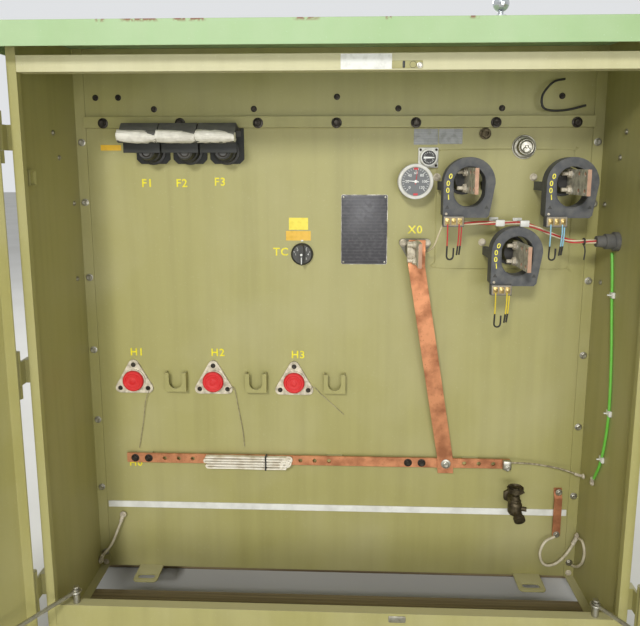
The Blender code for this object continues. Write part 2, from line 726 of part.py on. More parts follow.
def make_parking_stands():
    """Elbow parking stands: a bent bracket with a slot open at the top."""
    for index, x in enumerate(STAND_X):
        half = STAND_W / 2
        slot = STAND_SLOT / 2
        base = HV_Z - STAND_H / 2
        path = [(-half, SEAT), (-half, STAND_OUT), (half, STAND_OUT), (half, SEAT)]
        outline = [(x + u, v) for u, v in folded(path, -STAND_T)]
        stand = prism("parking_stand_%d" % (index + 1), outline, lambda u, v, w: (u, out(v), base + w), STAND_H,
                      GREEN_PAINT)
        foot = base + STAND_SLOT_FOOT + slot
        notch = arc((x, foot), slot, 180, 360, 8) + [(x + slot, base + STAND_H + 0.01),
                                                      (x - slot, base + STAND_H + 0.01)]
        cut(stand, prism("notch", notch, lambda u, v, w: (u, out(STAND_OUT + 0.01 - w), v), STAND_T + 0.02,
                         GREEN_PAINT))
        bake(stand)


def make_fuses():
    """Draw-out fuse holders, each under a drip guard with a rolled lip."""
    for index, x in enumerate(FUSE_X):
        mark = "f%d" % (index + 1)
        body = [(0.0, 0.0), (0.0, FUSE_FLANGE_R), (0.008, FUSE_FLANGE_R), (0.010, FUSE_TUBE_R + 0.006),
                (0.030, FUSE_TUBE_R + 0.004), (0.032, FUSE_TUBE_R), (FUSE_OUT * 0.8, FUSE_TUBE_R * 0.92),
                (FUSE_OUT * 0.82, FUSE_TUBE_R), (FUSE_OUT, FUSE_TUBE_R * 0.9), (FUSE_OUT, 0.0)]
        lathe("fuse_holder_" + mark, body, (x, out(SEAT), FUSE_Z), (0, -1, 0), BLACK)
        high = GUARD_Z + GUARD_H
        roll = (GUARD_OUT - GUARD_ROLL_R, GUARD_Z - 0.006)
        path = [(SEAT, GUARD_Z - 0.002), (SEAT, high), (RAIL_OUT + GUARD_T, high),
                (GUARD_CREST_OUT, GUARD_Z + GUARD_CREST), (roll[0] - GUARD_T, roll[1] + GUARD_ROLL_R)]
        path += arc(roll, GUARD_ROLL_R, 75, -120, 9)
        outline = folded(path, -GUARD_T)
        left = x - GUARD_LEFT_OF_FUSE - GUARD_W / 2
        prism("drip_guard_" + mark, outline, lambda u, v, w: (left + w, out(u), v), GUARD_W, WHITE)


def make_lv_terminals():
    """Bushings that carry drilled spades, X0 alone and X1 to X3 in their CTs."""
    for index, (x, z) in enumerate(LV_XZ):
        name = "lv_terminal_x%d" % index
        neutral = index == 0
        round_r = NEUTRAL_BUSHING_R if neutral else LV_BUSHING_R
        foot_r = round_r + 0.007 if neutral else LV_FLANGE_R
        stem = [(0.0, 0.0), (0.0, foot_r), (LV_FLANGE_T, foot_r), (LV_FLANGE_T, round_r + 0.006),
                (LV_BUSHING_OUT * 0.7, round_r + 0.002), (LV_BUSHING_OUT, round_r), (LV_BUSHING_OUT, 0.0)]
        terminal = lathe(name, stem, (x, out(SEAT), z), (0, -1, 0), TINNED)
        root = LV_BUSHING_OUT - SPADE_LAP
        if neutral:
            outline = rounded_triangle(x, z, NEUTRAL_BOLT_R, NEUTRAL_CORNER, False)
            join(terminal, prism("neutral_flange", outline, lambda u, v, w: on_wall(u, v, w + SEAT), LV_FLANGE_T,
                                 TINNED))
            neck = solid_rod(NEUTRAL_NECK_R, 2 * SPADE_LAP + STRAP_T + 2 * RUN)
            join(terminal, lathe("neck", neck, (x, out(root), z), (0, -1, 0), TINNED, 16))
            root = LV_BUSHING_OUT + STRAP_T + 2 * RUN
        end = SPADE_END_OUT[index]
        spade = block("spade", (x - SPADE_T / 2, out(end), z - SPADE_H / 2),
                      (x + SPADE_T / 2, out(root), z + SPADE_H / 2), TINNED)
        columns = 1 if neutral else 3
        for row in (-1, 1):
            for column in range(columns):
                hole_out = end - SPADE_HOLE_INSET - column * SPADE_HOLE_PITCH
                drill = lathe("drill_%d_%d" % (row, column), solid_rod(SPADE_HOLE_R, SPADE_T + 0.01),
                              (x - SPADE_T / 2 - 0.005, out(hole_out), z + row * SPADE_HOLE_PITCH / 2), (1, 0, 0),
                              TINNED, 10)
                cut(spade, drill)
        bake(spade)
        join(terminal, spade)
        bake(terminal)


def ct_middles():
    """The middle of each CT's window. The rings hang a little off their spades."""
    return [(x + shift[0], z + shift[1]) for (x, z), shift in zip(LV_XZ[1:], CT_SHIFTS)]


def make_current_transformers():
    """Moulded ring CTs, round on top and tapered below, with a terminal block."""
    for index, (x, z) in enumerate(ct_middles()):
        half = CT_W / 2
        floor = z - CT_FLOOR
        outline = arc((x, z + CT_TOP - half), half, 0, 180, 18)
        outline += [(x - half, floor + CT_CORNER), (x - half + CT_CORNER, floor),
                    (x + half - CT_TAPER - CT_CORNER, floor), (x + half - CT_TAPER, floor + CT_CORNER)]
        body = prism("current_transformer_x%d" % (index + 1), outline,
                     lambda u, v, w: on_wall(u, v, CT_BACK_OUT + w), CT_FRONT_OUT - CT_BACK_OUT, MOULDED)
        wide, tall = CT_WINDOW
        rise = (tall - wide) / 2
        opening = arc((x, z + rise), wide / 2, 0, 180, 14) + arc((x, z - rise), wide / 2, 180, 360, 14)
        bore = prism("window", opening, lambda u, v, w: on_wall(u, v, CT_BACK_OUT - 0.02 + w),
                     CT_FRONT_OUT - CT_BACK_OUT + 0.04, MOULDED)
        wide, tall, deep = CT_BLOCK
        left = x - half
        front = CT_FRONT_OUT - 2 * CT_BLOCK_LAP
        board = block("terminal_block", (left, out(front), floor - tall + CT_BLOCK_LAP),
                      (left + wide, out(front + deep), floor + CT_BLOCK_LAP), BLACK)
        cut(body, bore)
        feet = []
        for side in (-1, 1):
            middle = x + side * (half - CT_FOOT_W / 2)
            low = (middle - CT_FOOT_W / 2, out(CT_BACK_OUT + 0.004), z - CT_FOOT_H / 2)
            high = (middle + CT_FOOT_W / 2, out(SEAT), z + CT_FOOT_H / 2)
            feet.append(block("foot_%d" % side, low, high, MOULDED))
        join(body, board, *feet)
        bake(body)


def make_gauges():
    x, z = DIAL_XZ
    dial = [(0.0, 0.0), (0.0, DIAL_R), (DIAL_OUT * 0.6, DIAL_R), (DIAL_OUT, DIAL_R * 0.86), (DIAL_OUT, 0.0)]
    lathe("tap_changer_dial", dial, (x, out(SEAT), z), (0, -1, 0), BLACK)
    pivot = (x, out(SEAT + DIAL_OUT + RUN), z)
    grip = TAP_HANDLE_W / 2
    reach = TAP_HANDLE_L / 2
    shoulder = -reach + grip * 2
    outline = arc((0, reach - grip), grip, 0, 180, 8) + [(-grip, shoulder), (0, -reach), (grip, shoulder)]
    handle = prism("tap_changer_handle", [(x + u, z + v) for u, v in outline],
                   lambda u, v, w: on_wall(u, v, SEAT + DIAL_OUT + RUN + w), TAP_HANDLE_OUT, BLACK)
    set_origin(handle, pivot)

    x, z = THERMO_XZ
    start = THERMO_STEM_OUT
    case = [(0.0, 0.0), (0.0, THERMO_STEM_R + 0.004), (0.008, THERMO_STEM_R + 0.004), (0.008, THERMO_STEM_R),
            (start, THERMO_STEM_R), (start, THERMO_R * 0.94), (start + 0.004, THERMO_R),
            (start + THERMO_CASE_T, THERMO_R), (start + THERMO_CASE_T, 0.0)]
    lathe("thermometer", case, (x, out(SEAT), z), (0, -1, 0), WHITE, 32)

    x, z = GAUGE_XZ
    half = GAUGE_SIDE / 2
    plate = block("level_gauge", (x - half, out(SEAT + GAUGE_PLATE_T), z - half), (x + half, out(SEAT), z + half),
                  WHITE, 0.002)
    face = [(0.0, 0.0), (0.0, GAUGE_R), (GAUGE_OUT - 0.002, GAUGE_R), (GAUGE_OUT, GAUGE_R - 0.002),
            (GAUGE_OUT, 0.0)]
    join(plate, lathe("gauge_case", face, (x, out(GAUGE_PLATE_T / 2), z), (0, -1, 0), WHITE))
    bake(plate)

    x, z = RELIEF_XZ
    cap = [(0.0, 0.0), (0.0, RELIEF_R), (0.010, RELIEF_R), (0.012, RELIEF_R * 0.8),
           (RELIEF_OUT * 0.8, RELIEF_R * 0.72), (RELIEF_OUT, RELIEF_R * 0.5), (RELIEF_OUT, 0.0)]
    lathe("pressure_relief", cap, (x, out(SEAT), z), (0, -1, 0), STEEL)


def make_drain_valve():
    """A bronze valve on a nipple, its T-handle on the vertical stem."""
    x, z = VALVE_XZ
    centre = (x, out(VALVE_OUT), z - VALVE_BODY_H / 2)
    half = VALVE_BODY_H
    shape = [(0.0, 0.0), (0.0, VALVE_BODY_R * 0.8), (half * 0.10, VALVE_BODY_R), (half * 0.55, VALVE_BODY_R),
             (half * 0.70, VALVE_BODY_R * 0.7), (half, VALVE_BODY_R * 0.62), (half, VALVE_STEM_R),
             (half + VALVE_STEM_H, VALVE_STEM_R), (half + VALVE_STEM_H, 0.0)]
    body = lathe("drain_valve", shape, centre, (0, 0, 1), BRONZE)
    pipe = lathe("nipple", solid_rod(VALVE_PIPE_R, VALVE_OUT - SEAT), (x, out(SEAT), z), (0, -1, 0), BRONZE, 16)
    outlet = [(0.0, 0.0), (0.0, VALVE_PIPE_R), (0.030, VALVE_PIPE_R), (0.030, VALVE_PIPE_R + 0.003),
              (0.042, VALVE_PIPE_R + 0.003), (0.042, 0.0)]
    plug = lathe("outlet", outlet, (x + 0.003, out(VALVE_OUT), z - 0.014), (0.1, -1, -0.5), BRONZE, 16)
    tester = lathe("sampler", solid_rod(0.007, 0.034), (x, out(VALVE_OUT), z - 0.010), (1, -0.3, 0), BRONZE, 12)
    join(body, pipe, plug, tester)
    bake(body)
    top = z - VALVE_BODY_H / 2 + half + VALVE_STEM_H + RUN
    handle = block("drain_handle", (x - VALVE_HANDLE_L / 2, out(VALVE_OUT) - VALVE_HANDLE_W / 2, top),
                   (x + VALVE_HANDLE_L / 2, out(VALVE_OUT) + VALVE_HANDLE_W / 2, top + VALVE_HANDLE_H), BRONZE,
                   0.004)
    bake(handle)
    set_origin(handle, (x, out(VALVE_OUT), top))


def strap_loft(name, middles, width, thickness, skin):
    """A flat strap that faces the front, lofted through the middles of its sections."""
    bm = bmesh.new()
    rings = []
    for centre in middles:
        corners = ((-1, -1), (1, -1), (1, 1), (-1, 1))
        ring = [bm.verts.new(Vector(centre) + Vector((width / 2 * a, thickness / 2 * b, 0.0))) for a, b in corners]
        rings.append([bm.edges.new((ring[i], ring[(i + 1) % 4])) for i in range(4)])
    for first, second in zip(rings, rings[1:]):
        bmesh.ops.bridge_loops(bm, edges=first + second)
    bmesh.ops.holes_fill(bm, edges=bm.edges, sides=4)
    bmesh.ops.triangulate(bm, faces=bm.faces)
    return mesh_object(name, bm, skin)


def make_straps():
    """The straps, the neutral one hung on the X0 neck and bent onto the ground bar."""
    x, z = LV_XZ[0]
    wide = STRAP_W
    neck_out = LV_BUSHING_OUT + RUN + STRAP_T / 2
    bar_out = BAR_OUT + BAR_T + SEAT + STRAP_T / 2
    bar_top = BAR_Z + BAR_H / 2
    middles = [(x, out(neck_out), z + wide * 0.72), (x, out(neck_out), z - wide * 0.85),
               (NEUTRAL_FOOT_X - wide * 0.08, out(bar_out), bar_top + wide * 0.21),
               (NEUTRAL_FOOT_X, out(bar_out), bar_top - BAR_H - wide / 3)]
    strap = strap_loft("neutral_strap", middles, wide, STRAP_T, COPPER)
    hole = solid_rod(NEUTRAL_NECK_R + RUN, 3 * STRAP_T)
    cut(strap, lathe("neck_hole", hole, (x, out(neck_out - 1.5 * STRAP_T), z), (0, -1, 0), COPPER, 16))
    bake(strap)

    low, high = DOWN_STRAP_Z
    half = DOWN_STRAP_W / 2
    path = [(SEAT, high), (SEAT, high - half * 1.2), (DOWN_STRAP_OUT, high - half * 2.5), (DOWN_STRAP_OUT, low)]
    prism("ground_strap", folded(path, STRAP_T), lambda u, v, w: (DOWN_STRAP_X - half + w, out(u), v),
          DOWN_STRAP_W, COPPER)

    half_h = BUNDLE_H / 2
    left, right = BUNDLE_X
    outline = arc((right - half_h, BAR_Z - BUNDLE_SAG), half_h, -90, 90, 8)
    outline += arc((left + half_h, BAR_Z - BUNDLE_SAG), half_h, 90, 270, 8)
    start = BAR_OUT + BAR_T + SEAT
    prism("strap_bundle", outline, lambda u, v, w: on_wall(u, v, start + w), BUNDLE_T, STRAP_WHITE)


def make_wires():
    """The conduit fitting in the right wall, the CT leads and the ground wires."""
    wall = CABINET_W / 2 - SEAT
    fitting = [(0.0, 0.0), (0.0, FITTING_R + 0.005), (0.012, FITTING_R + 0.005), (0.014, FITTING_R),
               (FITTING_L * 0.6, FITTING_R), (FITTING_L * 0.62, FITTING_R * 0.8), (FITTING_L, FITTING_R * 0.7),
               (FITTING_L, 0.0)]
    lathe("conduit_fitting", fitting, (wall, out(FITTING_OUT), FITTING_Z), (-1, 0, 0), STEEL)
    mouth = wall - FITTING_L - SEAT
    x1, x2, x3 = [place[0] for place in ct_middles()]
    over = ct_middles()[1][1] + CT_TOP + LEADS_R + LEADS_GAP
    behind = CT_BACK_OUT
    leads = [(x1 - CT_W * 0.45, out(behind + CT_W * 0.13), over - CT_W * 0.03),
             (x1 - CT_W * 0.05, out(behind + CT_W * 0.07), over), (x2 - CT_W * 0.46, out(behind), over),
             (x2 + CT_W * 0.07, out(behind), over),
             (x2 + CT_W * 0.37, out(behind + CT_W * 0.03), over - CT_W * 0.07),
             (x3 - CT_W * 0.28, out(behind + CT_W * 0.17), (over * 2 + FITTING_Z * 4) / 6 - CT_W * 0.01),
             (mouth - FITTING_L * 1.1, out(FITTING_OUT - CT_W * 0.07), FITTING_Z),
             (mouth - FITTING_L * 0.34, out(FITTING_OUT), FITTING_Z), (mouth, out(FITTING_OUT), FITTING_Z)]
    tube("ct_leads", smooth_route(leads, ROUTE_STEP), LEADS_R, RED_WIRE)
    side_x = wall - WIRE_R
    green = [(side_x, out(FITTING_OUT * far), FITTING_Z - GREEN_DROP * down) for far, down in GREEN_ROUTE]
    tube("green_ground_wire", smooth_route(green, ROUTE_STEP), WIRE_R, GREEN_WIRE)
    for index, route in enumerate(DRAIN_ROUTES):
        bolt_x = HV_X[index] + HV_BOLT_R * cos(radians(30))
        bolt_z = HV_Z - HV_BOLT_R * sin(radians(30))
        points = [(bolt_x + across, out(DRAIN_OUT + ahead), bolt_z + up) for across, ahead, up in route]
        tube("drain_wire_h%d" % (index + 1), smooth_route(points, DRAIN_STEP), DRAIN_WIRE_R, COPPER)


def make_ball_stud():
    """A polished ball on a short stem and a round base, on the roof's front edge."""
    y = out(BALL_OUT)
    base_r, base_h = BALL_BASE
    meets = 180 - degrees(asin(BALL_STEM_R / BALL_R))
    profile = [(0.0, 0.0), (0.0, base_r), (base_h, base_r), (base_h, BALL_STEM_R)]
    profile += arc((BALL_UP, 0.0), BALL_R, meets, 0, 9)
    floor = roof_underside(y + base_r) + SHEET + SEAT
    lathe("roof_ball_stud", profile, (BALL_X, y, floor), (0, 0, 1), STEEL, 20)


make_skids()
make_tank()
make_fins()
make_cabinet_sides()
make_roof()
make_header()
make_sill()
make_doors()
make_stays()
make_ground_bar()
make_hv_bushings()
make_parking_stands()
make_fuses()
make_lv_terminals()
make_current_transformers()
make_gauges()
make_drain_valve()
make_straps()
make_wires()
make_ball_stud()
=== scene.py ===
"""Looks of a pad-mounted power transformer with its terminal cabinet open.

The packed solids come in as a fixed frame. Each operator below gives the solids
their finish, or adds a group of fittings that are too small for the solids.
Depth in front of the tank's wall is called out, in metres.
"""
from math import cos, pi, radians, sin

import bmesh
import bpy
from bpy.props import FloatProperty, FloatVectorProperty, PointerProperty
from mathutils import Matrix, Vector


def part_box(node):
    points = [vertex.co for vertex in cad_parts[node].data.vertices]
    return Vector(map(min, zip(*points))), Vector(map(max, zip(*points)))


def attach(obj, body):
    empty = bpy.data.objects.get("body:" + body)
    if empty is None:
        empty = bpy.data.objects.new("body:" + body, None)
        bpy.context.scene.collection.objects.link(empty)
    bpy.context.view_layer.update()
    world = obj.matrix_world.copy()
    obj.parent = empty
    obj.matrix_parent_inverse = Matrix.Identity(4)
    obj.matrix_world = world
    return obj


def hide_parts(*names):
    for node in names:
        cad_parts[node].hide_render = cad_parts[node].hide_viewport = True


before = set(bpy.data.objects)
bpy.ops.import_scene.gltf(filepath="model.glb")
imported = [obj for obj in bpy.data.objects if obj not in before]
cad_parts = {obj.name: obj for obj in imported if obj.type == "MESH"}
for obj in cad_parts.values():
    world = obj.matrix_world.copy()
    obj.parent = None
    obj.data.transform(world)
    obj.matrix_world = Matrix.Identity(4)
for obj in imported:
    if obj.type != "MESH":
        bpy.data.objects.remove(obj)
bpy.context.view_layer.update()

bl_info = {
    "name": "Power transformer looks",
    "version": (1, 0, 0),
    "blender": (4, 5, 0),
    "location": "3D View > Sidebar > Transformer",
    "description": "Finishes and small fittings of a pad-mounted transformer",
    "category": "Object",
}

WALL_Y = 0.160
SIDE_X = 0.762
BODY = "transformer"
# How much bolder than the font the marks are, as a share of their height
MARK_WEIGHT = 0.028
FACING_IN = {-1: Matrix.Rotation(radians(90), 4, "Z"), 1: Matrix.Rotation(radians(-90), 4, "Z")}


def linear(code):
    """An sRGB hex colour as linear RGBA."""
    parts = [int(code[start:start + 2], 16) / 255 for start in (1, 3, 5)]
    return tuple(v / 12.92 if v <= 0.04045 else ((v + 0.055) / 1.055) ** 2.4 for v in parts) + (1.0,)


def colour_setting(name, about, code):
    return FloatVectorProperty(name=name, description=about, subtype="COLOR", size=4, min=0.0, max=1.0,
                               default=linear(code))


class TransformerColours(bpy.types.PropertyGroup):
    enamel: colour_setting("Enamel", "Olive green enamel of the tank and cabinet", "#a39d62")
    roof: colour_setting("Roof enamel", "Pale green enamel of the cabinet roof", "#98b480")
    cap: colour_setting("Dust cap", "Red vinyl caps of the high-voltage wells", "#cf1d20")
    marks: colour_setting("Marks", "Yellow vinyl terminal marks", "#e9dc2a")
    green_wire: colour_setting("Ground wire", "Green insulation of the ground wire", "#6cc43f")


class TransformerSizes(bpy.types.PropertyGroup):
    mark_height: FloatProperty(name="Mark height", description="Height of the terminal marks", default=0.023,
                               min=0.005, max=0.06, unit="LENGTH")
    wall_bolt: FloatProperty(name="Wall bolt", description="Radius of the flange bolts' heads", default=0.0082,
                             min=0.004, max=0.02, unit="LENGTH")
    rail_bolt: FloatProperty(name="Rail bolt", description="Radius of the rail bolts' heads", default=0.0105,
                             min=0.004, max=0.02, unit="LENGTH")
    pigtail: FloatProperty(name="Lead drop", description="How far the lead ends of the ring transformers hang",
                           default=0.085, min=0.03, max=0.12, unit="LENGTH")


# Materials

def node(tree, kind, sockets=None, **settings):
    """Add a shader node with its settings. A socket given as a value is linked."""
    made = tree.nodes.new(kind)
    for name, value in settings.items():
        setattr(made, name, value)
    for name, value in (sockets or {}).items():
        if isinstance(value, bpy.types.NodeSocket):
            tree.links.new(value, made.inputs[name])
        else:
            made.inputs[name].default_value = value
    return made


def new_material(name, colour, roughness, metallic=0.0):
    """A Principled material, its tree, its shader and its object coordinates."""
    made = bpy.data.materials.new(name)
    made.use_nodes = True
    tree = made.node_tree
    shader = tree.nodes["Principled BSDF"]
    shader.inputs["Base Color"].default_value = colour
    shader.inputs["Roughness"].default_value = roughness
    shader.inputs["Metallic"].default_value = metallic
    place = node(tree, "ShaderNodeTexCoord").outputs["Object"]
    return made, tree, shader, place


def patches(tree, place, size, low, high, detail=4.0):
    """Soft blotches of a size in metres, from 0 to 1 between two noise levels."""
    cloud = node(tree, "ShaderNodeTexNoise", {"Vector": place, "Scale": 1 / size, "Detail": detail})
    return node(tree, "ShaderNodeMapRange", {"Value": cloud.outputs["Fac"], "From Min": low, "From Max": high}
                ).outputs["Result"]


def streaks(tree, place, across, low, high):
    """Streaks of a size in metres on each axis, from 0 to 1."""
    drawn = node(tree, "ShaderNodeMapping", {"Vector": place, "Scale": [1 / size for size in across]})
    return patches(tree, drawn.outputs["Vector"], 1.0, low, high)


def weaker(tree, share, factor):
    return node(tree, "ShaderNodeMath", {0: share, 1: factor}, operation="MULTIPLY").outputs[0]


def over(tree, under, top, share):
    """One colour laid over another by a share."""
    return node(tree, "ShaderNodeMix", {0: share, 6: under, 7: top}, data_type="RGBA").outputs[2]


def lumps(tree, shader, height, strength, depth, before=None):
    """Bump from a height, on top of an earlier bump's normal."""
    more = {"Normal": before} if before else {}
    bump = node(tree, "ShaderNodeBump", {"Height": height, "Strength": strength, "Distance": depth, **more})
    tree.links.new(bump.outputs["Normal"], shader.inputs["Normal"])
    return bump.outputs["Normal"]


def spread_roughness(tree, shader, share, low, high):
    rough = node(tree, "ShaderNodeMapRange", {"Value": share, "To Min": low, "To Max": high})
    tree.links.new(rough.outputs["Result"], shader.inputs["Roughness"])


def upward(tree, low=0.5, high=0.95):
    """1 where a face looks up, where dust settles."""
    normal = node(tree, "ShaderNodeNewGeometry").outputs["Normal"]
    height = node(tree, "ShaderNodeSeparateXYZ", {0: normal}).outputs["Z"]
    return node(tree, "ShaderNodeMapRange", {"Value": height, "From Min": low, "From Max": high}).outputs["Result"]


def rust_at(tree, place, spots):
    """Rust along the roof's front top edge, as (x, half length) pairs."""
    axes = node(tree, "ShaderNodeSeparateXYZ", {0: place})
    ragged = node(tree, "ShaderNodeTexNoise", {"Vector": place, "Scale": 1 / 0.009, "Detail": 6.0}).outputs["Fac"]
    whole = 0.0
    for x, half in spots:
        away = node(tree, "ShaderNodeMath", {0: axes.outputs["X"], 1: x}, operation="SUBTRACT").outputs[0]
        away = node(tree, "ShaderNodeMath", {0: away}, operation="ABSOLUTE").outputs[0]
        near = node(tree, "ShaderNodeMapRange", {"Value": away, "From Min": half, "From Max": half * 0.6})
        whole = node(tree, "ShaderNodeMath", {0: near.outputs["Result"], 1: whole}, operation="MAXIMUM").outputs[0]
    edge = node(tree, "ShaderNodeMapRange", {"Value": axes.outputs["Z"], "From Min": 1.706, "From Max": 1.7128})
    front = node(tree, "ShaderNodeMapRange", {"Value": axes.outputs["Y"], "From Min": -0.262, "From Max": -0.267})
    both = node(tree, "ShaderNodeMath", {0: edge.outputs["Result"], 1: front.outputs["Result"]},
                operation="MULTIPLY").outputs[0]
    rough = node(tree, "ShaderNodeMapRange", {"Value": ragged, "From Min": 0.42, "From Max": 0.50})
    both = node(tree, "ShaderNodeMath", {0: both, 1: rough.outputs["Result"]}, operation="MULTIPLY").outputs[0]
    return node(tree, "ShaderNodeMath", {0: both, 1: whole}, operation="MULTIPLY").outputs[0]


def enamel(name, tint, shade, dust, rust_spots=()):
    """Sprayed enamel on sheet steel: a soft sheen over orange peel, run marks and dust."""
    made, tree, shader, place = new_material(name, tint, 0.4)
    runs = streaks(tree, place, (0.035, 0.035, 0.60), 0.42, 0.72)
    colour = over(tree, tint, shade, weaker(tree, runs, 0.30))
    cloud = patches(tree, place, 0.28, 0.40, 0.66)
    colour = over(tree, colour, dust, weaker(tree, cloud, 0.30))
    colour = over(tree, colour, dust, weaker(tree, upward(tree), 0.65))
    specks = patches(tree, place, 0.0045, 0.70, 0.76, 1.0)
    colour = over(tree, colour, dust, weaker(tree, specks, 0.35))
    scuffs = streaks(tree, place, (0.05, 0.05, 0.0016), 0.70, 0.78)
    colour = over(tree, colour, dust, weaker(tree, scuffs, 0.18))
    if rust_spots:
        rust = rust_at(tree, place, rust_spots)
        colour = over(tree, colour, linear("#7a4526"), rust)
    tree.links.new(colour, shader.inputs["Base Color"])
    spread_roughness(tree, shader, cloud, 0.44, 0.58)
    eased = node(tree, "ShaderNodeBevel", {"Radius": 0.0016}, samples=4).outputs["Normal"]
    wavy = lumps(tree, shader, patches(tree, place, 0.22, 0.2, 0.8, 1.0), 0.10, 0.004, eased)
    lumps(tree, shader, patches(tree, place, 0.0028, 0.3, 0.7, 1.0), 0.10, 0.0004, wavy)
    return made


def sawn_timber():
    """Rough-sawn softwood, greyed and dusty: grain along the length, knots, saw marks."""
    made, tree, shader, place = new_material("sawn_softwood", linear("#8d7c58"), 0.85)
    grain = streaks(tree, place, (0.55, 0.006, 0.006), 0.35, 0.68)
    colour = over(tree, linear("#8b7b5a"), linear("#57482f"), grain)
    knots = streaks(tree, place, (0.30, 0.05, 0.05), 0.66, 0.72)
    colour = over(tree, colour, linear("#3a2e1f"), weaker(tree, knots, 0.8))
    colour = over(tree, colour, linear("#857c66"), weaker(tree, upward(tree), 0.35))
    tree.links.new(colour, shader.inputs["Base Color"])
    saw = streaks(tree, place, (0.0022, 0.08, 0.08), 0.3, 0.7)
    rough = lumps(tree, shader, grain, 0.45, 0.0012)
    lumps(tree, shader, saw, 0.25, 0.0006, rough)
    return made


def bare_metal(name, tint, stain, roughness, size=0.03, grain=(0.002, 0.002, 0.05), metallic=1.0):
    """Rolled or cast bare metal: an uneven stain, fine draw lines, dull spots."""
    made, tree, shader, place = new_material(name, tint, roughness, metallic)
    cloud = patches(tree, place, size, 0.38, 0.66)
    colour = over(tree, tint, stain, weaker(tree, cloud, 0.75))
    spots = patches(tree, place, size * 0.12, 0.62, 0.72)
    colour = over(tree, colour, stain, weaker(tree, spots, 0.6))
    tree.links.new(colour, shader.inputs["Base Color"])
    spread_roughness(tree, shader, cloud, roughness, min(1.0, roughness + 0.22))
    eased = node(tree, "ShaderNodeBevel", {"Radius": 0.0008}, samples=4).outputs["Normal"]
    lumps(tree, shader, streaks(tree, place, grain, 0.3, 0.7), 0.12, 0.0003, eased)
    return made


def moulding(name, tint, dust, roughness, pit=0.0012, dust_share=0.35):
    """Moulded plastic, resin or rubber: fine grain, with dust where it faces up."""
    made, tree, shader, place = new_material(name, tint, roughness)
    cloud = patches(tree, place, 0.02, 0.40, 0.68)
    colour = over(tree, tint, dust, weaker(tree, cloud, dust_share))
    colour = over(tree, colour, dust, weaker(tree, upward(tree), dust_share))
    tree.links.new(colour, shader.inputs["Base Color"])
    spread_roughness(tree, shader, cloud, roughness, min(1.0, roughness + 0.15))
    eased = node(tree, "ShaderNodeBevel", {"Radius": 0.0012}, samples=4).outputs["Normal"]
    lumps(tree, shader, patches(tree, place, pit, 0.3, 0.7, 1.0), 0.12, 0.0003, eased)
    return made


def terminal_metal():
    """Tinned copper spades on an epoxy bushing: copper shows on the sawn ends and edges."""
    made, tree, shader, place = new_material("tinned_copper_terminal", linear("#b9b2a2"), 0.5, 0.35)
    axes = node(tree, "ShaderNodeSeparateXYZ", {0: place})
    facing = node(tree, "ShaderNodeSeparateXYZ", {0: node(tree, "ShaderNodeNewGeometry").outputs["Normal"]})
    cloud = patches(tree, place, 0.018, 0.40, 0.64)
    colour = over(tree, linear("#d6d1c2"), linear("#8f8879"), weaker(tree, cloud, 0.7))
    sawn = node(tree, "ShaderNodeMapRange", {"Value": facing.outputs["Y"], "From Min": -0.6, "From Max": -0.9})
    ahead = node(tree, "ShaderNodeMapRange", {"Value": axes.outputs["Y"], "From Min": 0.03, "From Max": 0.02})
    bare = node(tree, "ShaderNodeMath", {0: sawn.outputs["Result"], 1: ahead.outputs["Result"]},
                operation="MULTIPLY").outputs[0]
    colour = over(tree, colour, linear("#a8846b"), bare)
    bushing = node(tree, "ShaderNodeMapRange", {"Value": axes.outputs["Y"], "From Min": 0.0970, "From Max": 0.0976})
    # Bushings right of x 0.29, behind the ring transformers' windows, get near black: painted shade of the windows, not
    # the bushings' own colour
    phase = node(tree, "ShaderNodeMapRange", {"Value": axes.outputs["X"], "From Min": 0.29, "From Max": 0.295})
    epoxy_and_painted_shade = over(tree, linear("#7b7767"), linear("#34322e"), phase.outputs["Result"])
    colour = over(tree, colour, epoxy_and_painted_shade, bushing.outputs["Result"])
    tree.links.new(colour, shader.inputs["Base Color"])
    metal = node(tree, "ShaderNodeMapRange", {"Value": axes.outputs["Y"], "From Min": 0.0976, "From Max": 0.0970})
    tree.links.new(weaker(tree, metal.outputs["Result"], 0.35), shader.inputs["Metallic"])
    spread_roughness(tree, shader, cloud, 0.44, 0.62)
    lumps(tree, shader, patches(tree, place, 0.004, 0.3, 0.7), 0.15, 0.0004)
    return made


def woven_webbing():
    """Woven polyester webbing: a plain weave of 2 mm threads, soiled in places."""
    made, tree, shader, place = new_material("polyester_webbing", linear("#e6dfcb"), 0.8)
    warp = node(tree, "ShaderNodeTexWave", {"Vector": place, "Scale": 1 / 0.012, "Distortion": 0.6},
                bands_direction="X").outputs["Fac"]
    weft = node(tree, "ShaderNodeTexWave", {"Vector": place, "Scale": 1 / 0.010, "Distortion": 0.6},
                bands_direction="Z").outputs["Fac"]
    weave = node(tree, "ShaderNodeMath", {0: warp, 1: weft}, operation="MULTIPLY").outputs[0]
    soil = patches(tree, place, 0.03, 0.45, 0.70)
    colour = over(tree, linear("#ece6d6"), linear("#b9a98a"), weaker(tree, soil, 0.7))
    colour = over(tree, colour, linear("#c9bfa8"), weaker(tree, weave, 0.4))
    tree.links.new(colour, shader.inputs["Base Color"])
    lumps(tree, shader, weave, 0.5, 0.0006)
    return made


def vinyl(name, tint, wear, rules=0.0):
    """A printed vinyl or metal label left bare, scuffed, ruled faintly where asked."""
    made, tree, shader, place = new_material(name, tint, 0.42)
    scuff = patches(tree, place, 0.012, 0.48, 0.70)
    colour = over(tree, tint, wear, weaker(tree, scuff, 0.45))
    if rules:
        lines = node(tree, "ShaderNodeTexWave", {"Vector": place, "Scale": 0.3142 / rules, "Distortion": 0.0},
                     bands_direction="Z").outputs["Fac"]
        thin = node(tree, "ShaderNodeMapRange", {"Value": lines, "From Min": 0.93, "From Max": 0.99})
        colour = over(tree, colour, wear, weaker(tree, thin.outputs["Result"], 0.5))
    tree.links.new(colour, shader.inputs["Base Color"])
    spread_roughness(tree, shader, scuff, 0.32, 0.60)
    lumps(tree, shader, scuff, 0.08, 0.0003)
    return made


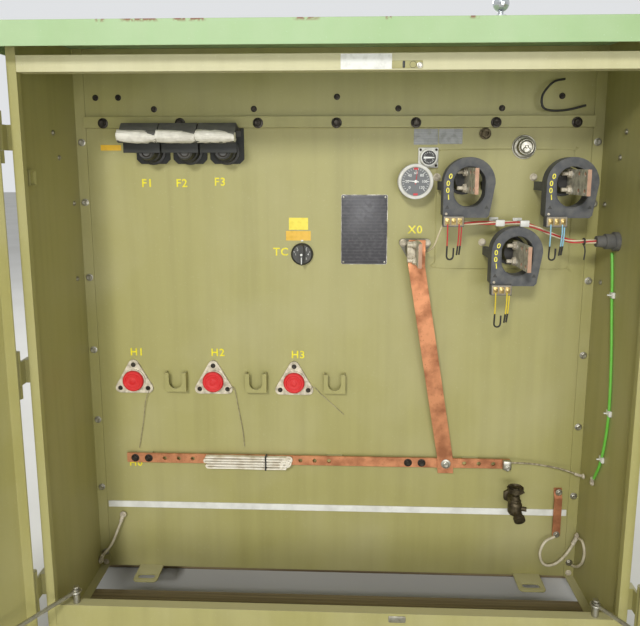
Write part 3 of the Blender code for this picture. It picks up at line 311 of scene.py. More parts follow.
SKINS = {}


def make_skins(colours):
    """Every finish of the object, by the name of the real material.

    Enamel shows a soft sheen with run marks, bare metal a broken reflection with a
    stain, mouldings an even dull skin with dust on top, and vinyl a flat scuffed colour.
    """
    SKINS.update(
        enamel=enamel("olive_enamel", tuple(colours.enamel), linear("#87824c"), linear("#b7b18a")),
        roof=enamel("pale_green_enamel", tuple(colours.roof), linear("#8db476"), linear("#c2d3b2"),
                    ((-0.425, 0.050), (-0.337, 0.017), (-0.299, 0.022), (-0.058, 0.032), (0.305, 0.012),
                     (-0.515, 0.012), (0.12, 0.008))),
        # A paler, greyer olive for the door header than for the wall
        header=enamel("faded_olive_enamel", linear("#c4bf93"), linear("#aaa474"), linear("#d6d2b4")),
        timber=sawn_timber(),
        copper=bare_metal("rolled_copper", linear("#d9966c"), linear("#8f5a3c"), 0.42, 0.045, metallic=0.7),
        tin=terminal_metal(),
        strip=bare_metal("oxidised_aluminium", linear("#e9e9e2"), linear("#cfcec6"), 0.55, 0.05, (0.05, 0.002, 0.002),
                         0.15),
        zinc=bare_metal("zinc_plated_steel", linear("#bdbaae"), linear("#85806f"), 0.36, 0.02),
        # Dark steel for small bolts and nuts; on the rail bolts under the roof the darkness is painted shade
        dark_bolt=bare_metal("blackened_steel", linear("#4a4640"), linear("#2f2925"), 0.45, 0.01),
        brass=bare_metal("yellow_brass", linear("#c9b077"), linear("#7f6c42"), 0.35, 0.01),
        bronze=bare_metal("weathered_bronze", linear("#6e6450"), linear("#3b3427"), 0.5, 0.02),
        chrome=bare_metal("polished_chrome", linear("#d5d8da"), linear("#b2b6b8"), 0.08, 0.05),
        flange=bare_metal("chalky_cast_zinc", linear("#ddd3bd"), linear("#9c917c"), 0.6, 0.015, metallic=0.2),
        cap=moulding("red_vinyl_cap", tuple(colours.cap), linear("#e7685f"), 0.48, dust_share=0.14),
        # The caps' lips get a darker red than their faces
        cap_rim=moulding("scuffed_red_vinyl", linear("#a3161a"), linear("#c4544c"), 0.5, dust_share=0.18),
        black=moulding("black_phenolic", linear("#262624"), linear("#5a574e"), 0.45),
        dark_vinyl=moulding("grey_pvc_sheet", linear("#4c4b48"), linear("#77746c"), 0.6),
        flap=moulding("black_pvc_sheet", linear("#2b2c2a"), linear("#4b4b46"), 0.6, dust_share=0.25),
        pad=moulding("wrinkled_white_vinyl", linear("#dedacd"), linear("#a8a294"), 0.55, 0.003, 0.45),
        resin=moulding("grey_cast_resin", linear("#4c4d4f"), linear("#7d7c76"), 0.66, 0.0045, 0.40),
        white=moulding("white_nylon", linear("#e2e1d9"), linear("#bdb9ab"), 0.45),
        bezel=moulding("light_grey_enamelled_case", linear("#d2d0c7"), linear("#aaa89e"), 0.42),
        face=moulding("grey_dial_face", linear("#6b6d6e"), linear("#7b7c7a"), 0.5, 0.004, 0.15),
        rubber=moulding("grey_rubber_fitting", linear("#5a5956"), linear("#7a766c"), 0.62),
        board=moulding("brown_phenolic_board", linear("#8d8371"), linear("#b5ab98"), 0.5),
        # Black for the lead ends' lower runs and loops: painted shadow
        wrap=moulding("black_heat_shrink", linear("#1f1e1d"), linear("#4a4843"), 0.5),
        marks=vinyl("yellow_vinyl_marks", tuple(colours.marks), linear("#b5ad45")),
        white_ink=vinyl("white_ink", linear("#e8e8e2"), linear("#c8c8c0")),
        red_ink=vinyl("red_pointer_paint", linear("#c8262a"), linear("#8f2a2a")),
        green_wire=moulding("green_pvc_insulation", tuple(colours.green_wire), linear("#8cc86a"), 0.4),
        red_wire=moulding("red_pvc_insulation", linear("#c4302f"), linear("#9c4a44"), 0.42),
        cream_wire=moulding("cream_pvc_insulation", linear("#dccfae"), linear("#a99a78"), 0.45),
        black_wire=moulding("black_pvc_insulation", linear("#2a2927"), linear("#4a4843"), 0.45),
        blue_wire=moulding("pale_blue_pvc_insulation", linear("#8fc6dc"), linear("#7fa6b2"), 0.42),
        yellow_wire=moulding("yellow_pvc_insulation", linear("#e3cb2e"), linear("#b59f3a"), 0.42),
        strand=bare_metal("tinned_copper_wire", linear("#b8ad92"), linear("#6d6350"), 0.5, 0.01, metallic=0.5),
        braid=moulding("tinned_braid", linear("#d6cdb4"), linear("#a89c7e"), 0.5, 0.0016, 0.5),
        webbing=woven_webbing(),
        nameplate=vinyl("anodised_nameplate", linear("#403f43"), linear("#6c6a6c"), 0.010),
        silver=vinyl("silver_foil_label", linear("#7c7e7b"), linear("#a8a9a4"), 0.007),
        yellow_label=vinyl("yellow_vinyl_label", linear("#ecd93e"), linear("#d2bb3a")),
        orange_label=vinyl("amber_vinyl_label", linear("#e2b32c"), linear("#c79a30")),
        white_label=vinyl("white_paper_label", linear("#e4e4dd"), linear("#c3c2b8")),
    )


# Modelling helpers

def at(x, depth, z):
    """A point in front of the tank's wall."""
    return Vector((x, WALL_Y - depth, z))


def on_side(side, x, depth, z):
    """The place of a fitting that faces in from the left (-1) or right (1)."""
    return Matrix.Translation(at(x, depth, z)) @ FACING_IN[side]


def clear_selection():
    if bpy.context.object and bpy.context.object.mode != "OBJECT":
        bpy.ops.object.mode_set(mode="OBJECT")
    bpy.ops.object.select_all(action="DESELECT")


def settled(name):
    """The active primitive, named, with its place put into its mesh."""
    obj = bpy.context.object
    obj.name = name
    obj.data.name = name
    bpy.ops.object.transform_apply(location=True, rotation=True, scale=True)
    return obj


def choose(obj, test, kind="faces"):
    """Edit mode on an object, with just the faces or edges chosen that pass a test."""
    clear_selection()
    obj.select_set(True)
    bpy.context.view_layer.objects.active = obj
    bpy.ops.object.mode_set(mode="EDIT")
    bpy.ops.mesh.select_mode(type="FACE" if kind == "faces" else "EDGE")
    bpy.ops.mesh.select_all(action="DESELECT")
    bm = bmesh.from_edit_mesh(obj.data)
    bm.normal_update()
    for item in getattr(bm, kind):
        if test(item):
            item.select_set(True)
    bmesh.update_edit_mesh(obj.data)


def leave(obj, smooth=40.0):
    """Back to object mode, shaded smooth below an angle."""
    if obj.mode != "OBJECT":
        bpy.ops.object.mode_set(mode="OBJECT")
    clear_selection()
    obj.select_set(True)
    bpy.context.view_layer.objects.active = obj
    bpy.ops.object.shade_smooth_by_angle(angle=radians(smooth))
    return obj


def looks_out(side):
    return side.normal.y < -0.9


def stepped(obj, *steps):
    """The front face inset in steps, each an inset and how far it then comes out."""
    choose(obj, looks_out)
    for inset, out in steps:
        bpy.ops.mesh.inset(thickness=inset)
        if out:
            bpy.ops.transform.translate(value=(0.0, -out, 0.0))
    return obj


def runs_along(axis, least):
    """A test for edges longer than a length along an axis."""
    return lambda edge: abs((edge.verts[0].co - edge.verts[1].co)[axis]) > least


def moved(obj, spot, turn=0.0):
    """A piece turned in the wall's plane, in degrees, and put at a point."""
    obj.data.transform(Matrix.Translation(spot) @ Matrix.Rotation(radians(turn), 4, "Y"))
    return obj


def apply_modifier(obj, kind, **settings):
    clear_selection()
    obj.select_set(True)
    bpy.context.view_layer.objects.active = obj
    made = obj.modifiers.new("shape", kind)
    for name, value in settings.items():
        setattr(made, name, value)
    bpy.ops.object.modifier_apply(modifier=made.name)
    return obj


def eased(obj, width, segments=2, angle=35.0):
    """Edges broken by a small bevel."""
    apply_modifier(obj, "BEVEL", width=width, segments=segments, limit_method="ANGLE", angle_limit=radians(angle))
    return leave(obj)


def joined(name, parts):
    clear_selection()
    for part in parts:
        part.select_set(True)
    bpy.context.view_layer.objects.active = parts[0]
    if len(parts) > 1:
        bpy.ops.object.join()
    obj = bpy.context.view_layer.objects.active
    obj.name = name
    obj.data.name = name
    return obj


def repeated(name, pattern, places):
    """Copies of a pattern, each with its own mesh, at matrices or points, joined."""
    copies = []
    for place in places:
        twin = pattern.copy()
        twin.data = pattern.data.copy()
        twin.data.transform(place if isinstance(place, Matrix) else Matrix.Translation(place))
        bpy.context.collection.objects.link(twin)
        copies.append(twin)
    bpy.data.objects.remove(pattern, do_unlink=True)
    return joined(name, copies)


def fit(obj, skin, body=BODY, stands_for=()):
    """Finish a piece, name its slot and let it ride on its body."""
    obj.data.materials.clear()
    obj.data.materials.append(SKINS[skin])
    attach(obj, body)
    if stands_for:
        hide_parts(*stands_for)
    return obj


def rod(name, start, end, radius, sides=16):
    start, end = Vector(start), Vector(end)
    run = end - start
    bpy.ops.mesh.primitive_cylinder_add(vertices=sides, radius=radius, depth=run.length, location=(start + end) / 2,
                                        rotation=run.to_track_quat("Z", "Y").to_euler())
    return settled(name)


def slab(name, low, high):
    low, high = Vector(low), Vector(high)
    bpy.ops.mesh.primitive_cube_add(size=1.0, location=(low + high) / 2, scale=high - low)
    return settled(name)


def wall_plate(name, left, right, bottom, top, depth, thick, corner=0.0, face=0.0):
    """A plate parallel to the wall, with round corners and an inset front face."""
    low, high = at(left, depth + thick, bottom), at(right, depth, top)
    obj = slab(name, low, high)
    if corner:
        choose(obj, runs_along(1, thick * 0.9), "edges")
        bpy.ops.mesh.bevel(offset=corner, segments=5, affect="EDGES")
    if face:
        stepped(obj, (face, face * 0.5))
    return leave(obj)


def hex_bolt(name, head, washer):
    """A chamfered hexagon head on a round washer, facing out of the wall."""
    thick = washer * 0.15
    base = rod(name + "_washer", (0, 0, 0), (0, -thick, 0), washer, 24)
    eased(base, washer * 0.05)
    top = rod(name, (0, -thick, 0), (0, -thick - head * 0.55, 0), head, 6)
    leave(stepped(top, (head * 0.16, head * 0.10), (head * 0.30, -head * 0.04)), 25.0)
    return joined(name, (base, top))


def pan_screw(name, radius):
    """A domed screw with a slot across it."""
    head = rod(name, (0, 0, 0), (0, -radius * 0.5, 0), radius, 20)
    leave(stepped(head, (radius * 0.35, radius * 0.22)))
    groove = slab(name + "_slot", (-radius * 0.62, -radius * 0.76, -radius * 0.10),
                  (radius * 0.62, -radius * 0.60, radius * 0.10))
    eased(groove, radius * 0.03)
    return joined(name, (head, groove))


def smooth_route(corners, spacing):
    """Evenly spaced points on a Catmull-Rom curve through the corners."""
    spots = [Vector(corner) for corner in corners]
    padded = [2 * spots[0] - spots[1]] + spots + [2 * spots[-1] - spots[-2]]
    fine = []
    for index in range(len(spots) - 1):
        a, b, c, d = padded[index:index + 4]
        for step in range(30):
            t = step / 30
            fine.append(0.5 * (2 * b + (c - a) * t + (2 * a - 5 * b + 4 * c - d) * t * t
                               + (3 * b - a - 3 * c + d) * t * t * t))
    fine.append(spots[-1])
    runs = [(fine[i + 1] - fine[i]).length for i in range(len(fine) - 1)]
    whole = sum(runs)
    count = max(2, round(whole / spacing))
    route, walked = [fine[0]], 0.0
    for index, run in enumerate(runs):
        walked += run
        if walked >= whole * len(route) / count and len(route) < count:
            route.append(fine[index + 1])
    route.append(fine[-1])
    return route


def wire(name, route, radius, resolution=3):
    """A round wire along a route, its ends closed, as a mesh."""
    curve = bpy.data.curves.new(name, "CURVE")
    curve.dimensions = "3D"
    curve.bevel_depth = radius
    curve.bevel_resolution = resolution
    curve.use_fill_caps = True
    line = curve.splines.new("POLY")
    line.points.add(len(route) - 1)
    for spot, point in zip(line.points, route):
        spot.co = (*point, 1.0)
    obj = bpy.data.objects.new(name, curve)
    bpy.context.collection.objects.link(obj)
    clear_selection()
    obj.select_set(True)
    bpy.context.view_layer.objects.active = obj
    bpy.ops.object.convert(target="MESH")
    return leave(bpy.context.object, 60.0)


def cord(name, corners, radius, skin, spacing=0.005, stands_for=()):
    """A free wire along a route, declared with its real length and thickness."""
    route = smooth_route(corners, spacing)
    piece = fit(wire(name, route, radius), skin, stands_for=stands_for)
    return piece


def lettering(name, words, x, z, height, depth=0.0008, turn=0.0, weight=0.0):
    """Raised letters parallel to the wall."""
    bpy.ops.object.text_add(location=(0, 0, 0), rotation=(pi / 2, turn, 0))
    text = bpy.context.object
    text.data.body = words
    text.data.size = height / 0.70
    text.data.align_x = "CENTER"
    text.data.align_y = "CENTER"
    text.data.extrude = 0.0002
    text.data.offset = height * weight
    text.data.space_character = 1.0 + 5.0 * weight
    text.data.resolution_u = 4
    bpy.ops.object.convert(target="MESH")
    return moved(settled(name), at(x, depth, z))


def ring(name, centre, major, minor, turn=(pi / 2, 0, 0), sides=28):
    bpy.ops.mesh.primitive_torus_add(location=centre, rotation=turn, major_radius=major, minor_radius=minor,
                                     major_segments=sides, minor_segments=10)
    obj = settled(name)
    return leave(obj, 60.0)


def cable_lug(name, barrel, palm, radius, sideways):
    """A crimped lug: a barrel that runs into a flat palm with its bolt."""
    barrel, palm = Vector(barrel), Vector(palm)
    run = (palm - barrel).normalized()
    tube = rod(name + "_barrel", barrel, barrel + run * radius * 4, radius * 1.25, 16)
    choose(tube, lambda side: side.normal.dot(run) > 0.9)
    bpy.ops.mesh.extrude_region_move(TRANSFORM_OT_translate={"value": run * radius * 1.6})
    leave(tube)
    lay = Vector(sideways)
    flat = rod(name + "_palm", palm - lay * radius * 0.3, palm + lay * radius * 0.3, radius * 2.1, 20)
    eased(flat, radius * 0.08)
    return joined(name, (tube, flat))


def group(idname, label, about, work):
    """An operator class for one group of pieces."""
    def execute(self, context):
        clear_selection()
        work(context)
        return {"FINISHED"}
    return type("TRANSFORMER_OT_" + idname, (bpy.types.Operator,),
                {"bl_idname": "transformer." + idname, "bl_label": label, "__doc__": about, "execute": execute})


# Stage

def build_stage(context):
    """The camera of the photograph, a pale floor and soft studio lamps."""
    bpy.ops.object.camera_add(location=(0.029, -1.734, 1.398), rotation=(radians(80.71), 0.0, radians(2.26)))
    camera = context.object
    camera.name = "photo_camera"
    camera.data.sensor_width = 36.0
    camera.data.lens = 36.06
    camera.data.shift_y = -0.069
    camera.data.clip_start = 0.02
    camera.data.clip_end = 100.0
    context.scene.camera = camera

    bpy.ops.mesh.primitive_plane_add(size=60.0, location=(0, 0, 0))
    floor = settled("studio_floor")
    made, tree, shader, place = new_material("pale_studio_floor", linear("#dcdbd6"), 0.85)
    cloud = patches(tree, place, 0.9, 0.3, 0.7)
    tree.links.new(over(tree, linear("#dcdbd6"), linear("#d2d1cb"), cloud), shader.inputs["Base Color"])
    floor.data.materials.append(made)

    world = bpy.data.worlds.new("studio")
    world.use_nodes = True
    context.scene.world = world
    tree = world.node_tree
    sky = tree.nodes["Background"]
    rays = node(tree, "ShaderNodeLightPath")
    seen = node(tree, "ShaderNodeMath", {0: rays.outputs["Is Camera Ray"], 1: rays.outputs["Is Glossy Ray"]},
                operation="MAXIMUM").outputs[0]
    level = node(tree, "ShaderNodeMapRange", {"Value": seen, "To Min": 0.56, "To Max": 0.86}).outputs["Result"]
    sky.inputs["Color"].default_value = linear("#f0f2f4")
    tree.links.new(level, sky.inputs["Strength"])

    for name, place, aim, size, power in (("key", (-1.9, -8.6, 5.4), (0.1, 0.1, 0.8), 1.6, 470.0),
                                          ("fill", (1.2, -7.4, 0.4), (0.0, 0.1, 0.4), 4.5, 285.0),
                                          ("back", (0.5, 5.0, 4.2), (0.0, 0.6, 0.8), 3.0, 220.0)):
        bpy.ops.object.light_add(type="AREA", location=place)
        lamp = context.object
        lamp.name = name + "_softbox"
        lamp.data.shape = "DISK"
        lamp.data.size = size
        lamp.data.energy = power
        lamp.rotation_euler = (Vector(aim) - Vector(place)).to_track_quat("-Z", "Y").to_euler()
    context.scene.view_settings.view_transform = "Standard"


# The solids' own finishes

NODE_SKINS = {
    "enamel": ("tank_body", "tank_cover", "fin_bank_left", "fin_bank_right", "cabinet_side_left",
               "cabinet_side_right", "hood_back_panel", "front_sill", "door_left", "door_right",
               "parking_stand_1", "parking_stand_2", "parking_stand_3"),
    "header": ("door_header",),
    "roof": ("cabinet_roof",),
    "timber": ("skid_front", "skid_middle", "skid_rear"),
    "copper": ("ground_bar", "neutral_strap", "ground_strap"),
    "tin": ("lv_terminal_x0", "lv_terminal_x1", "lv_terminal_x2", "lv_terminal_x3"),
    "strip": ("grounding_strip",),
    "zinc": ("door_stay_left", "door_stay_right", "stay_post_left", "stay_post_right", "pressure_relief"),
    "flange": ("hv_bushing_h1", "hv_bushing_h2", "hv_bushing_h3"),
    "cap": ("bushing_cap_h1", "bushing_cap_h2", "bushing_cap_h3"),
    "black": ("fuse_holder_f1", "fuse_holder_f2", "fuse_holder_f3", "tap_changer_dial", "tap_changer_handle"),
    "dark_vinyl": ("drip_guard_f1", "drip_guard_f2", "drip_guard_f3"),
    "resin": ("current_transformer_x1", "current_transformer_x2", "current_transformer_x3"),
    "bezel": ("thermometer",),
    "white": ("level_gauge",),
    "bronze": ("drain_valve", "drain_handle"),
    "rubber": ("conduit_fitting",),
    "green_wire": ("green_ground_wire",),
    "webbing": ("strap_bundle",),
    "red_wire": ("ct_leads",),
    "chrome": ("roof_ball_stud",),
    "strand": ("drain_wire_h1", "drain_wire_h2", "drain_wire_h3"),
}


def finish_solids(context):
    make_skins(context.scene.transformer_colours)
    for skin, names in NODE_SKINS.items():
        for name in names:
            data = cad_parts[name].data
            data.materials.clear()
            data.materials.append(SKINS[skin])


# Bolts

def add_wall_bolts(context):
    """Bolts of the side walls' flanges, of the hood panel and of the tank's rail."""
    sizes = context.scene.transformer_sizes
    rows = [1.285 - 0.2275 * step for step in range(6)]
    flange = [at(side * 0.7465, 0.0033, z) for side in (-1, 1) for z in rows + [1.46]]
    fit(repeated("side_flange_bolts", hex_bolt("flange_bolt", sizes.wall_bolt, 0.0112), flange), "zinc")
    rail = [at(-0.674 + 0.2255 * step, 0.0200, 1.514) for step in range(7)]
    # The rail bolts under the roof get the dark steel: painted shade
    fit(repeated("tank_rail_bolts", hex_bolt("rail_bolt", sizes.rail_bolt, 0.0150), rail), "dark_bolt")
    hood = [at(x, -0.0003, 1.555) for x in (-0.529, -0.237, 0.179, 0.473)]
    hood += [at(x, -0.0003, 1.588) for x in (-0.700, -0.633, 0.003, 0.640)]
    fit(repeated("hood_panel_bolts", hex_bolt("hood_bolt", 0.0060, 0.0090), hood), "dark_bolt")
    sides = []
    for side in (-1, 1):
        for depth, z in ((0.155, 1.481), (0.127, 1.415), (0.047, 1.285), (0.056, 1.063)):
            sides.append(on_side(side, side * SIDE_X, depth, z))
    fit(repeated("side_wall_bolts", hex_bolt("side_bolt", 0.0056, 0.0082), sides), "zinc")
    cover = []
    low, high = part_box("tank_cover")
    for step in range(9):
        x = low.x + 0.05 + (high.x - low.x - 0.10) * step / 8
        cover += [Vector((x, high.y - 0.030, high.z)), Vector((x, low.y + 0.030, high.z))]
    for step in range(1, 5):
        y = low.y + 0.03 + (high.y - low.y - 0.06) * step / 5
        cover += [Vector((low.x + 0.030, y, high.z)), Vector((high.x - 0.030, y, high.z))]
    lying = Matrix.Rotation(radians(-90), 4, "X")
    bolt = hex_bolt("cover_bolt", 0.0095, 0.0140)
    fit(repeated("cover_bolts", bolt, [Matrix.Translation(spot) @ lying for spot in cover]), "enamel")


def add_marks(context):
    """Yellow terminal marks on the wall."""
    height = context.scene.transformer_sizes.mark_height
    marks = [("H1", -0.613, 0.823), ("H2", -0.361, 0.824), ("H3", -0.113, 0.820), ("F1", -0.558, 1.341),
             ("F2", -0.455, 1.341), ("F3", -0.341, 1.345), ("TC", -0.163, 1.138), ("X0", 0.235, 1.206),
             ("X1", 0.365, 1.418), ("X2", 0.491, 1.214), ("X3", 0.647, 1.420), ("H0", -0.633, 0.458)]
    letters = [lettering("mark_" + words, words, x, z, height, weight=MARK_WEIGHT) for words, x, z in marks]
    fit(joined("terminal_marks", letters), "marks")


def add_labels(context):
    """The nameplate and the labels, all of them bare."""
    plate = wall_plate("nameplate", 0.018, 0.152, 1.104, 1.308, 0.003, 0.0012, 0.004, 0.0012)
    fit(plate, "nameplate")
    corners = [at(x, 0.0042, z) for x in (0.024, 0.146) for z in (1.110, 1.302)]
    fit(repeated("nameplate_screws", pan_screw("plate_screw", 0.0030), corners), "zinc")
    frame_bar = wall_plate("nameplate_bracket", 0.0168, 0.1532, 1.1028, 1.3092, 0.0002, 0.0026, 0.005)
    fit(frame_bar, "zinc")
    first = wall_plate("foil_label_left", 0.225, 0.2945, 1.453, 1.498, 0.0002, 0.0007, 0.002)
    second = wall_plate("foil_label_right", 0.2965, 0.364, 1.455, 1.498, 0.0002, 0.0007, 0.002)
    fit(joined("foil_labels", (first, second)), "silver")
    fit(wall_plate("yellow_label", -0.138, -0.081, 1.205, 1.241, 0.0002, 0.0005, 0.001), "yellow_label")
    upper = wall_plate("amber_label", -0.147, -0.073, 1.173, 1.2015, 0.0002, 0.0005, 0.001)
    lower = wall_plate("fuse_label", -0.692, -0.631, 1.437, 1.453, 0.0002, 0.0005, 0.001)
    fit(joined("amber_labels", (upper, lower)), "orange_label")
    fit(wall_plate("header_label", 0.016, 0.133, 1.612, 1.6465, 0.3702, 0.0005, 0.001), "white_label")


def add_low_voltage_plate(context):
    """The round-cornered plate that carries the three phase terminals, with its weld."""
    left, right, bottom, top = 0.295, 0.684, 1.093, 1.438
    plate = wall_plate("terminal_plate", left, right, bottom, top, 0.0, 0.0014, 0.014)
    weld = [(left, bottom + 0.02), (left, top - 0.02), (left + 0.02, top), (right - 0.02, top), (right, top - 0.02),
            (right, bottom + 0.02), (right - 0.02, bottom), (left + 0.02, bottom), (left, bottom + 0.02)]
    bead = wire("terminal_plate_weld", smooth_route([at(x, 0.0006, z) for x, z in weld], 0.010), 0.0013)
    fit(joined("terminal_plate", (plate, bead)), "enamel")


# Gauges

def dial_ticks(name, centre, depth, inner, outer, angles, width):
    parts = []
    for turn in angles:
        tick = slab(name, (-width / 2, -0.0003, inner), (width / 2, 0.0003, outer))
        eased(tick, width * 0.2, 1)
        parts.append(moved(tick, at(centre[0], depth, centre[1]), turn))
    return joined(name, parts)


def pointer(name, centre, depth, length, width, turn):
    """A tapered pointer with a tail and a hub."""
    blade = slab(name, (-width / 2, -0.0006, -length * 0.25), (width / 2, 0.0006, length))
    choose(blade, lambda side: side.normal.z > 0.9)
    bpy.ops.transform.resize(value=(0.25, 1.0, 1.0))
    leave(blade)
    hub = rod(name + "_hub", (0, 0.0008, 0), (0, -0.0016, 0), width * 1.3, 20)
    eased(hub, width * 0.2)
    return moved(joined(name, (blade, hub)), at(centre[0], depth, centre[1]), turn)


def add_thermometer(context):
    """Bezel, dial face, graduations and two pointers of the liquid thermometer."""
    low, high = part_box("thermometer")
    centre = ((low.x + high.x) / 2, (low.z + high.z) / 2)
    radius = (high.x - low.x) / 2
    depth = WALL_Y - low.y
    bezel = rod("thermometer_bezel", at(centre[0], depth, centre[1]), at(centre[0], depth + 0.0050, centre[1]),
                radius * 0.985, 64)
    stepped(bezel, (radius * 0.16, 0.0), (radius * 0.03, -0.0036))
    fit(eased(bezel, 0.0009), "bezel")
    face = rod("thermometer_face", at(centre[0], depth + 0.0010, centre[1]), at(centre[0], depth + 0.0020, centre[1]),
               radius * 0.83, 64)
    fit(leave(stepped(face, (radius * 0.10, -0.0002))), "face")
    angles = [-135 + 11.25 * step for step in range(25)]
    marks = dial_ticks("thermometer_ticks", centre, depth + 0.0022, radius * 0.66, radius * 0.76, angles, 0.0009)
    long = dial_ticks("thermometer_long_ticks", centre, depth + 0.0022, radius * 0.60, radius * 0.76, angles[::4],
                      0.0016)
    numbers = []
    for step, turn in enumerate(angles[::4]):
        x = centre[0] + radius * 0.48 * sin(radians(turn))
        z = centre[1] + radius * 0.48 * cos(radians(turn))
        numbers.append(lettering("thermometer_digits_%d" % step, str(step * 20), x, z, 0.0076, depth + 0.0022))
    fit(joined("thermometer_graduations", [marks, long] + numbers), "white_ink")
    scale = dial_ticks("thermometer_red_scale", centre, depth + 0.0024, radius * 0.66, radius * 0.78,
                       [-8, -4, 0, 4, 8, 172, 176, 180, 184, 188], 0.0026)
    red = pointer("thermometer_drag_pointer", centre, depth + 0.0032, radius * 0.62, 0.0032, 8)
    fit(joined("thermometer_red_marks", (red, scale)), "red_ink")
    white = pointer("thermometer_pointer", centre, depth + 0.0046, radius * 0.62, 0.0036, -84)
    fit(white, "white_ink")


def add_level_gauge(context):
    """Corner screws, dark dial and pointer of the liquid-level gauge."""
    low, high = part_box("level_gauge")
    centre = ((low.x + high.x) / 2, (low.z + high.z) / 2)
    depth = WALL_Y - low.y
    face = rod("level_gauge_face", at(centre[0], depth - 0.0004, centre[1]), at(centre[0], depth + 0.0010, centre[1]),
               0.0200, 48)
    fit(leave(stepped(face, (0.0025, -0.0005))), "black")
    marks = dial_ticks("level_gauge_ticks", centre, depth + 0.0012, 0.0125, 0.0165,
                       [-60 + 20 * step for step in range(7)] + [120, 140, 160, 180, 200, 220, 240], 0.0012)
    low_mark = lettering("level_gauge_low", "0", centre[0] - 0.0095, centre[1] - 0.006, 0.0048, depth + 0.0012)
    high_mark = lettering("level_gauge_high", "1", centre[0] + 0.0095, centre[1] - 0.006, 0.0048, depth + 0.0012)
    fit(joined("level_gauge_graduations", (marks, low_mark, high_mark)), "white_ink")
    bar = slab("level_gauge_pointer", at(centre[0] - 0.0155, depth + 0.0030, centre[1] - 0.0032),
               at(centre[0] + 0.0155, depth + 0.0014, centre[1] + 0.0032))
    choose(bar, lambda side: side.normal.x > 0.9)
    bpy.ops.transform.resize(value=(1.0, 1.0, 0.45))
    fit(eased(leave(bar), 0.0005), "white_ink")
    screws = [at(centre[0] + x, 0.0073, centre[1] + z) for x in (-0.0225, 0.0225) for z in (-0.0225, 0.0225)]
    fit(repeated("level_gauge_screws", pan_screw("gauge_screw", 0.0036), screws), "dark_bolt")


def add_tap_dial(context):
    """Position digits and index marks round the tap changer's dial."""
    low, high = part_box("tap_changer_dial")
    centre = ((low.x + high.x) / 2, (low.z + high.z) / 2)
    depth = WALL_Y - low.y
    ring_plate = rod("tap_dial_ring", at(centre[0], depth - 0.0006, centre[1]), at(centre[0], depth, centre[1]),
                     0.0275, 48)
    fit(leave(stepped(ring_plate, (0.0020, 0.0002))), "dark_vinyl")
    # Ring, marks and digits stay under the 0.6 mm by which the handle clears the dial
    parts = [dial_ticks("tap_dial_ticks", centre, depth + 0.0001, 0.0215, 0.0262, [-72, -36, 0, 36, 72], 0.0014)]
    for step, turn in enumerate((-90, -45, 45, 90, 135)):
        x = centre[0] + 0.0185 * sin(radians(turn))
        z = centre[1] + 0.0185 * cos(radians(turn))
        parts.append(lettering("tap_dial_%d" % (step + 1), str(step + 1), x, z, 0.0062, depth + 0.0002))
    index = slab("tap_dial_index", at(centre[0] - 0.0035, 0.002, centre[1] + 0.0375),
                 at(centre[0] + 0.0035, 0.0, centre[1] + 0.0420))
    parts.append(eased(index, 0.0006))
    fit(joined("tap_dial_marks", parts), "white_ink")
    front = WALL_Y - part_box("tap_changer_handle")[0].y
    line = slab("tap_handle_line", at(centre[0] - 0.0012, front + 0.0003, centre[1] - 0.026),
                at(centre[0] + 0.0012, front - 0.0001, centre[1] - 0.006))
    eased(line, 0.0001, 1)
    screw = moved(pan_screw("tap_handle_screw", 0.0036), at(centre[0], front, centre[1] + 0.002))
    fit(joined("tap_handle_marks", (line, screw)), "white_ink", "tap_handle")


def add_relief_and_plug(context):
    """Weld ring and pull ring of the relief valve, and the hexagon plug beside it."""
    low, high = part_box("pressure_relief")
    x, z = (low.x + high.x) / 2, (low.z + high.z) / 2
    front = WALL_Y - low.y
    weld = ring("relief_weld", at(x, 0.001, z), 0.0325, 0.0022)
    lip = ring("relief_lip", at(x, front - 0.004, z), 0.0205, 0.0020)
    fit(joined("relief_rings", (weld, lip)), "zinc")
    pull = ring("relief_pull_ring", at(x, front + 0.005, z - 0.008), 0.0095, 0.0011, (pi / 2 - 0.5, 0, 0))
    stem = rod("relief_stem", at(x, front - 0.001, z), at(x, front + 0.007, z), 0.0045, 16)
    eased(stem, 0.0010)
    fit(joined("relief_pull", (pull, stem)), "zinc")
    seat = rod("filling_plug", at(0.428, 0.0, 1.484), at(0.428, 0.006, 1.484), 0.0165, 32)
    eased(seat, 0.0010)
    body = rod("filling_plug_head", at(0.428, 0.006, 1.484), at(0.428, 0.017, 1.484), 0.0130, 6)
    stepped(body, (0.0040, 0.0))
    bpy.ops.mesh.extrude_region_move(TRANSFORM_OT_translate={"value": (0.0, 0.006, 0.0)})
    leave(body, 25.0)
    fit(joined("filling_plug", (seat, body)), "bronze")


# High-voltage side

WELL_BOLT_R = 0.050


def well_places():
    """The middle of each dust cap's face, with its depth."""
    places = []
    for mark in ("h1", "h2", "h3"):
        low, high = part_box("bushing_cap_" + mark)
        places.append(((low.x + high.x) / 2, (low.z + high.z) / 2, WALL_Y - low.y))
    return places


def add_well_fittings(context):
    """Clamp nuts on the well flanges, and the lip and ringed face of each cap."""
    nuts, rims, faces = [], [], []
    for x, z, depth in well_places():
        for turn in (90, 210, 330):
            nuts.append(at(x + WELL_BOLT_R * cos(radians(turn)), 0.0083, z + WELL_BOLT_R * sin(radians(turn))))
        lip = ring("cap_lip", at(x, depth - 0.0080, z), 0.0312, 0.0016, sides=48)
        dish = rod("cap_face", at(x, depth - 0.0024, z), at(x, depth - 0.0008, z), 0.0185, 40)
        stepped(dish, (0.0030, -0.0010), (0.0070, 0.0), (0.0012, 0.0014))
        rims.append(lip)
        faces.append(eased(dish, 0.0004))
    fit(repeated("well_flange_nuts", hex_bolt("well_nut", 0.0056, 0.0074), nuts), "dark_bolt")
    fit(joined("cap_rims", rims), "cap_rim")
    fit(joined("cap_faces", faces), "cap")


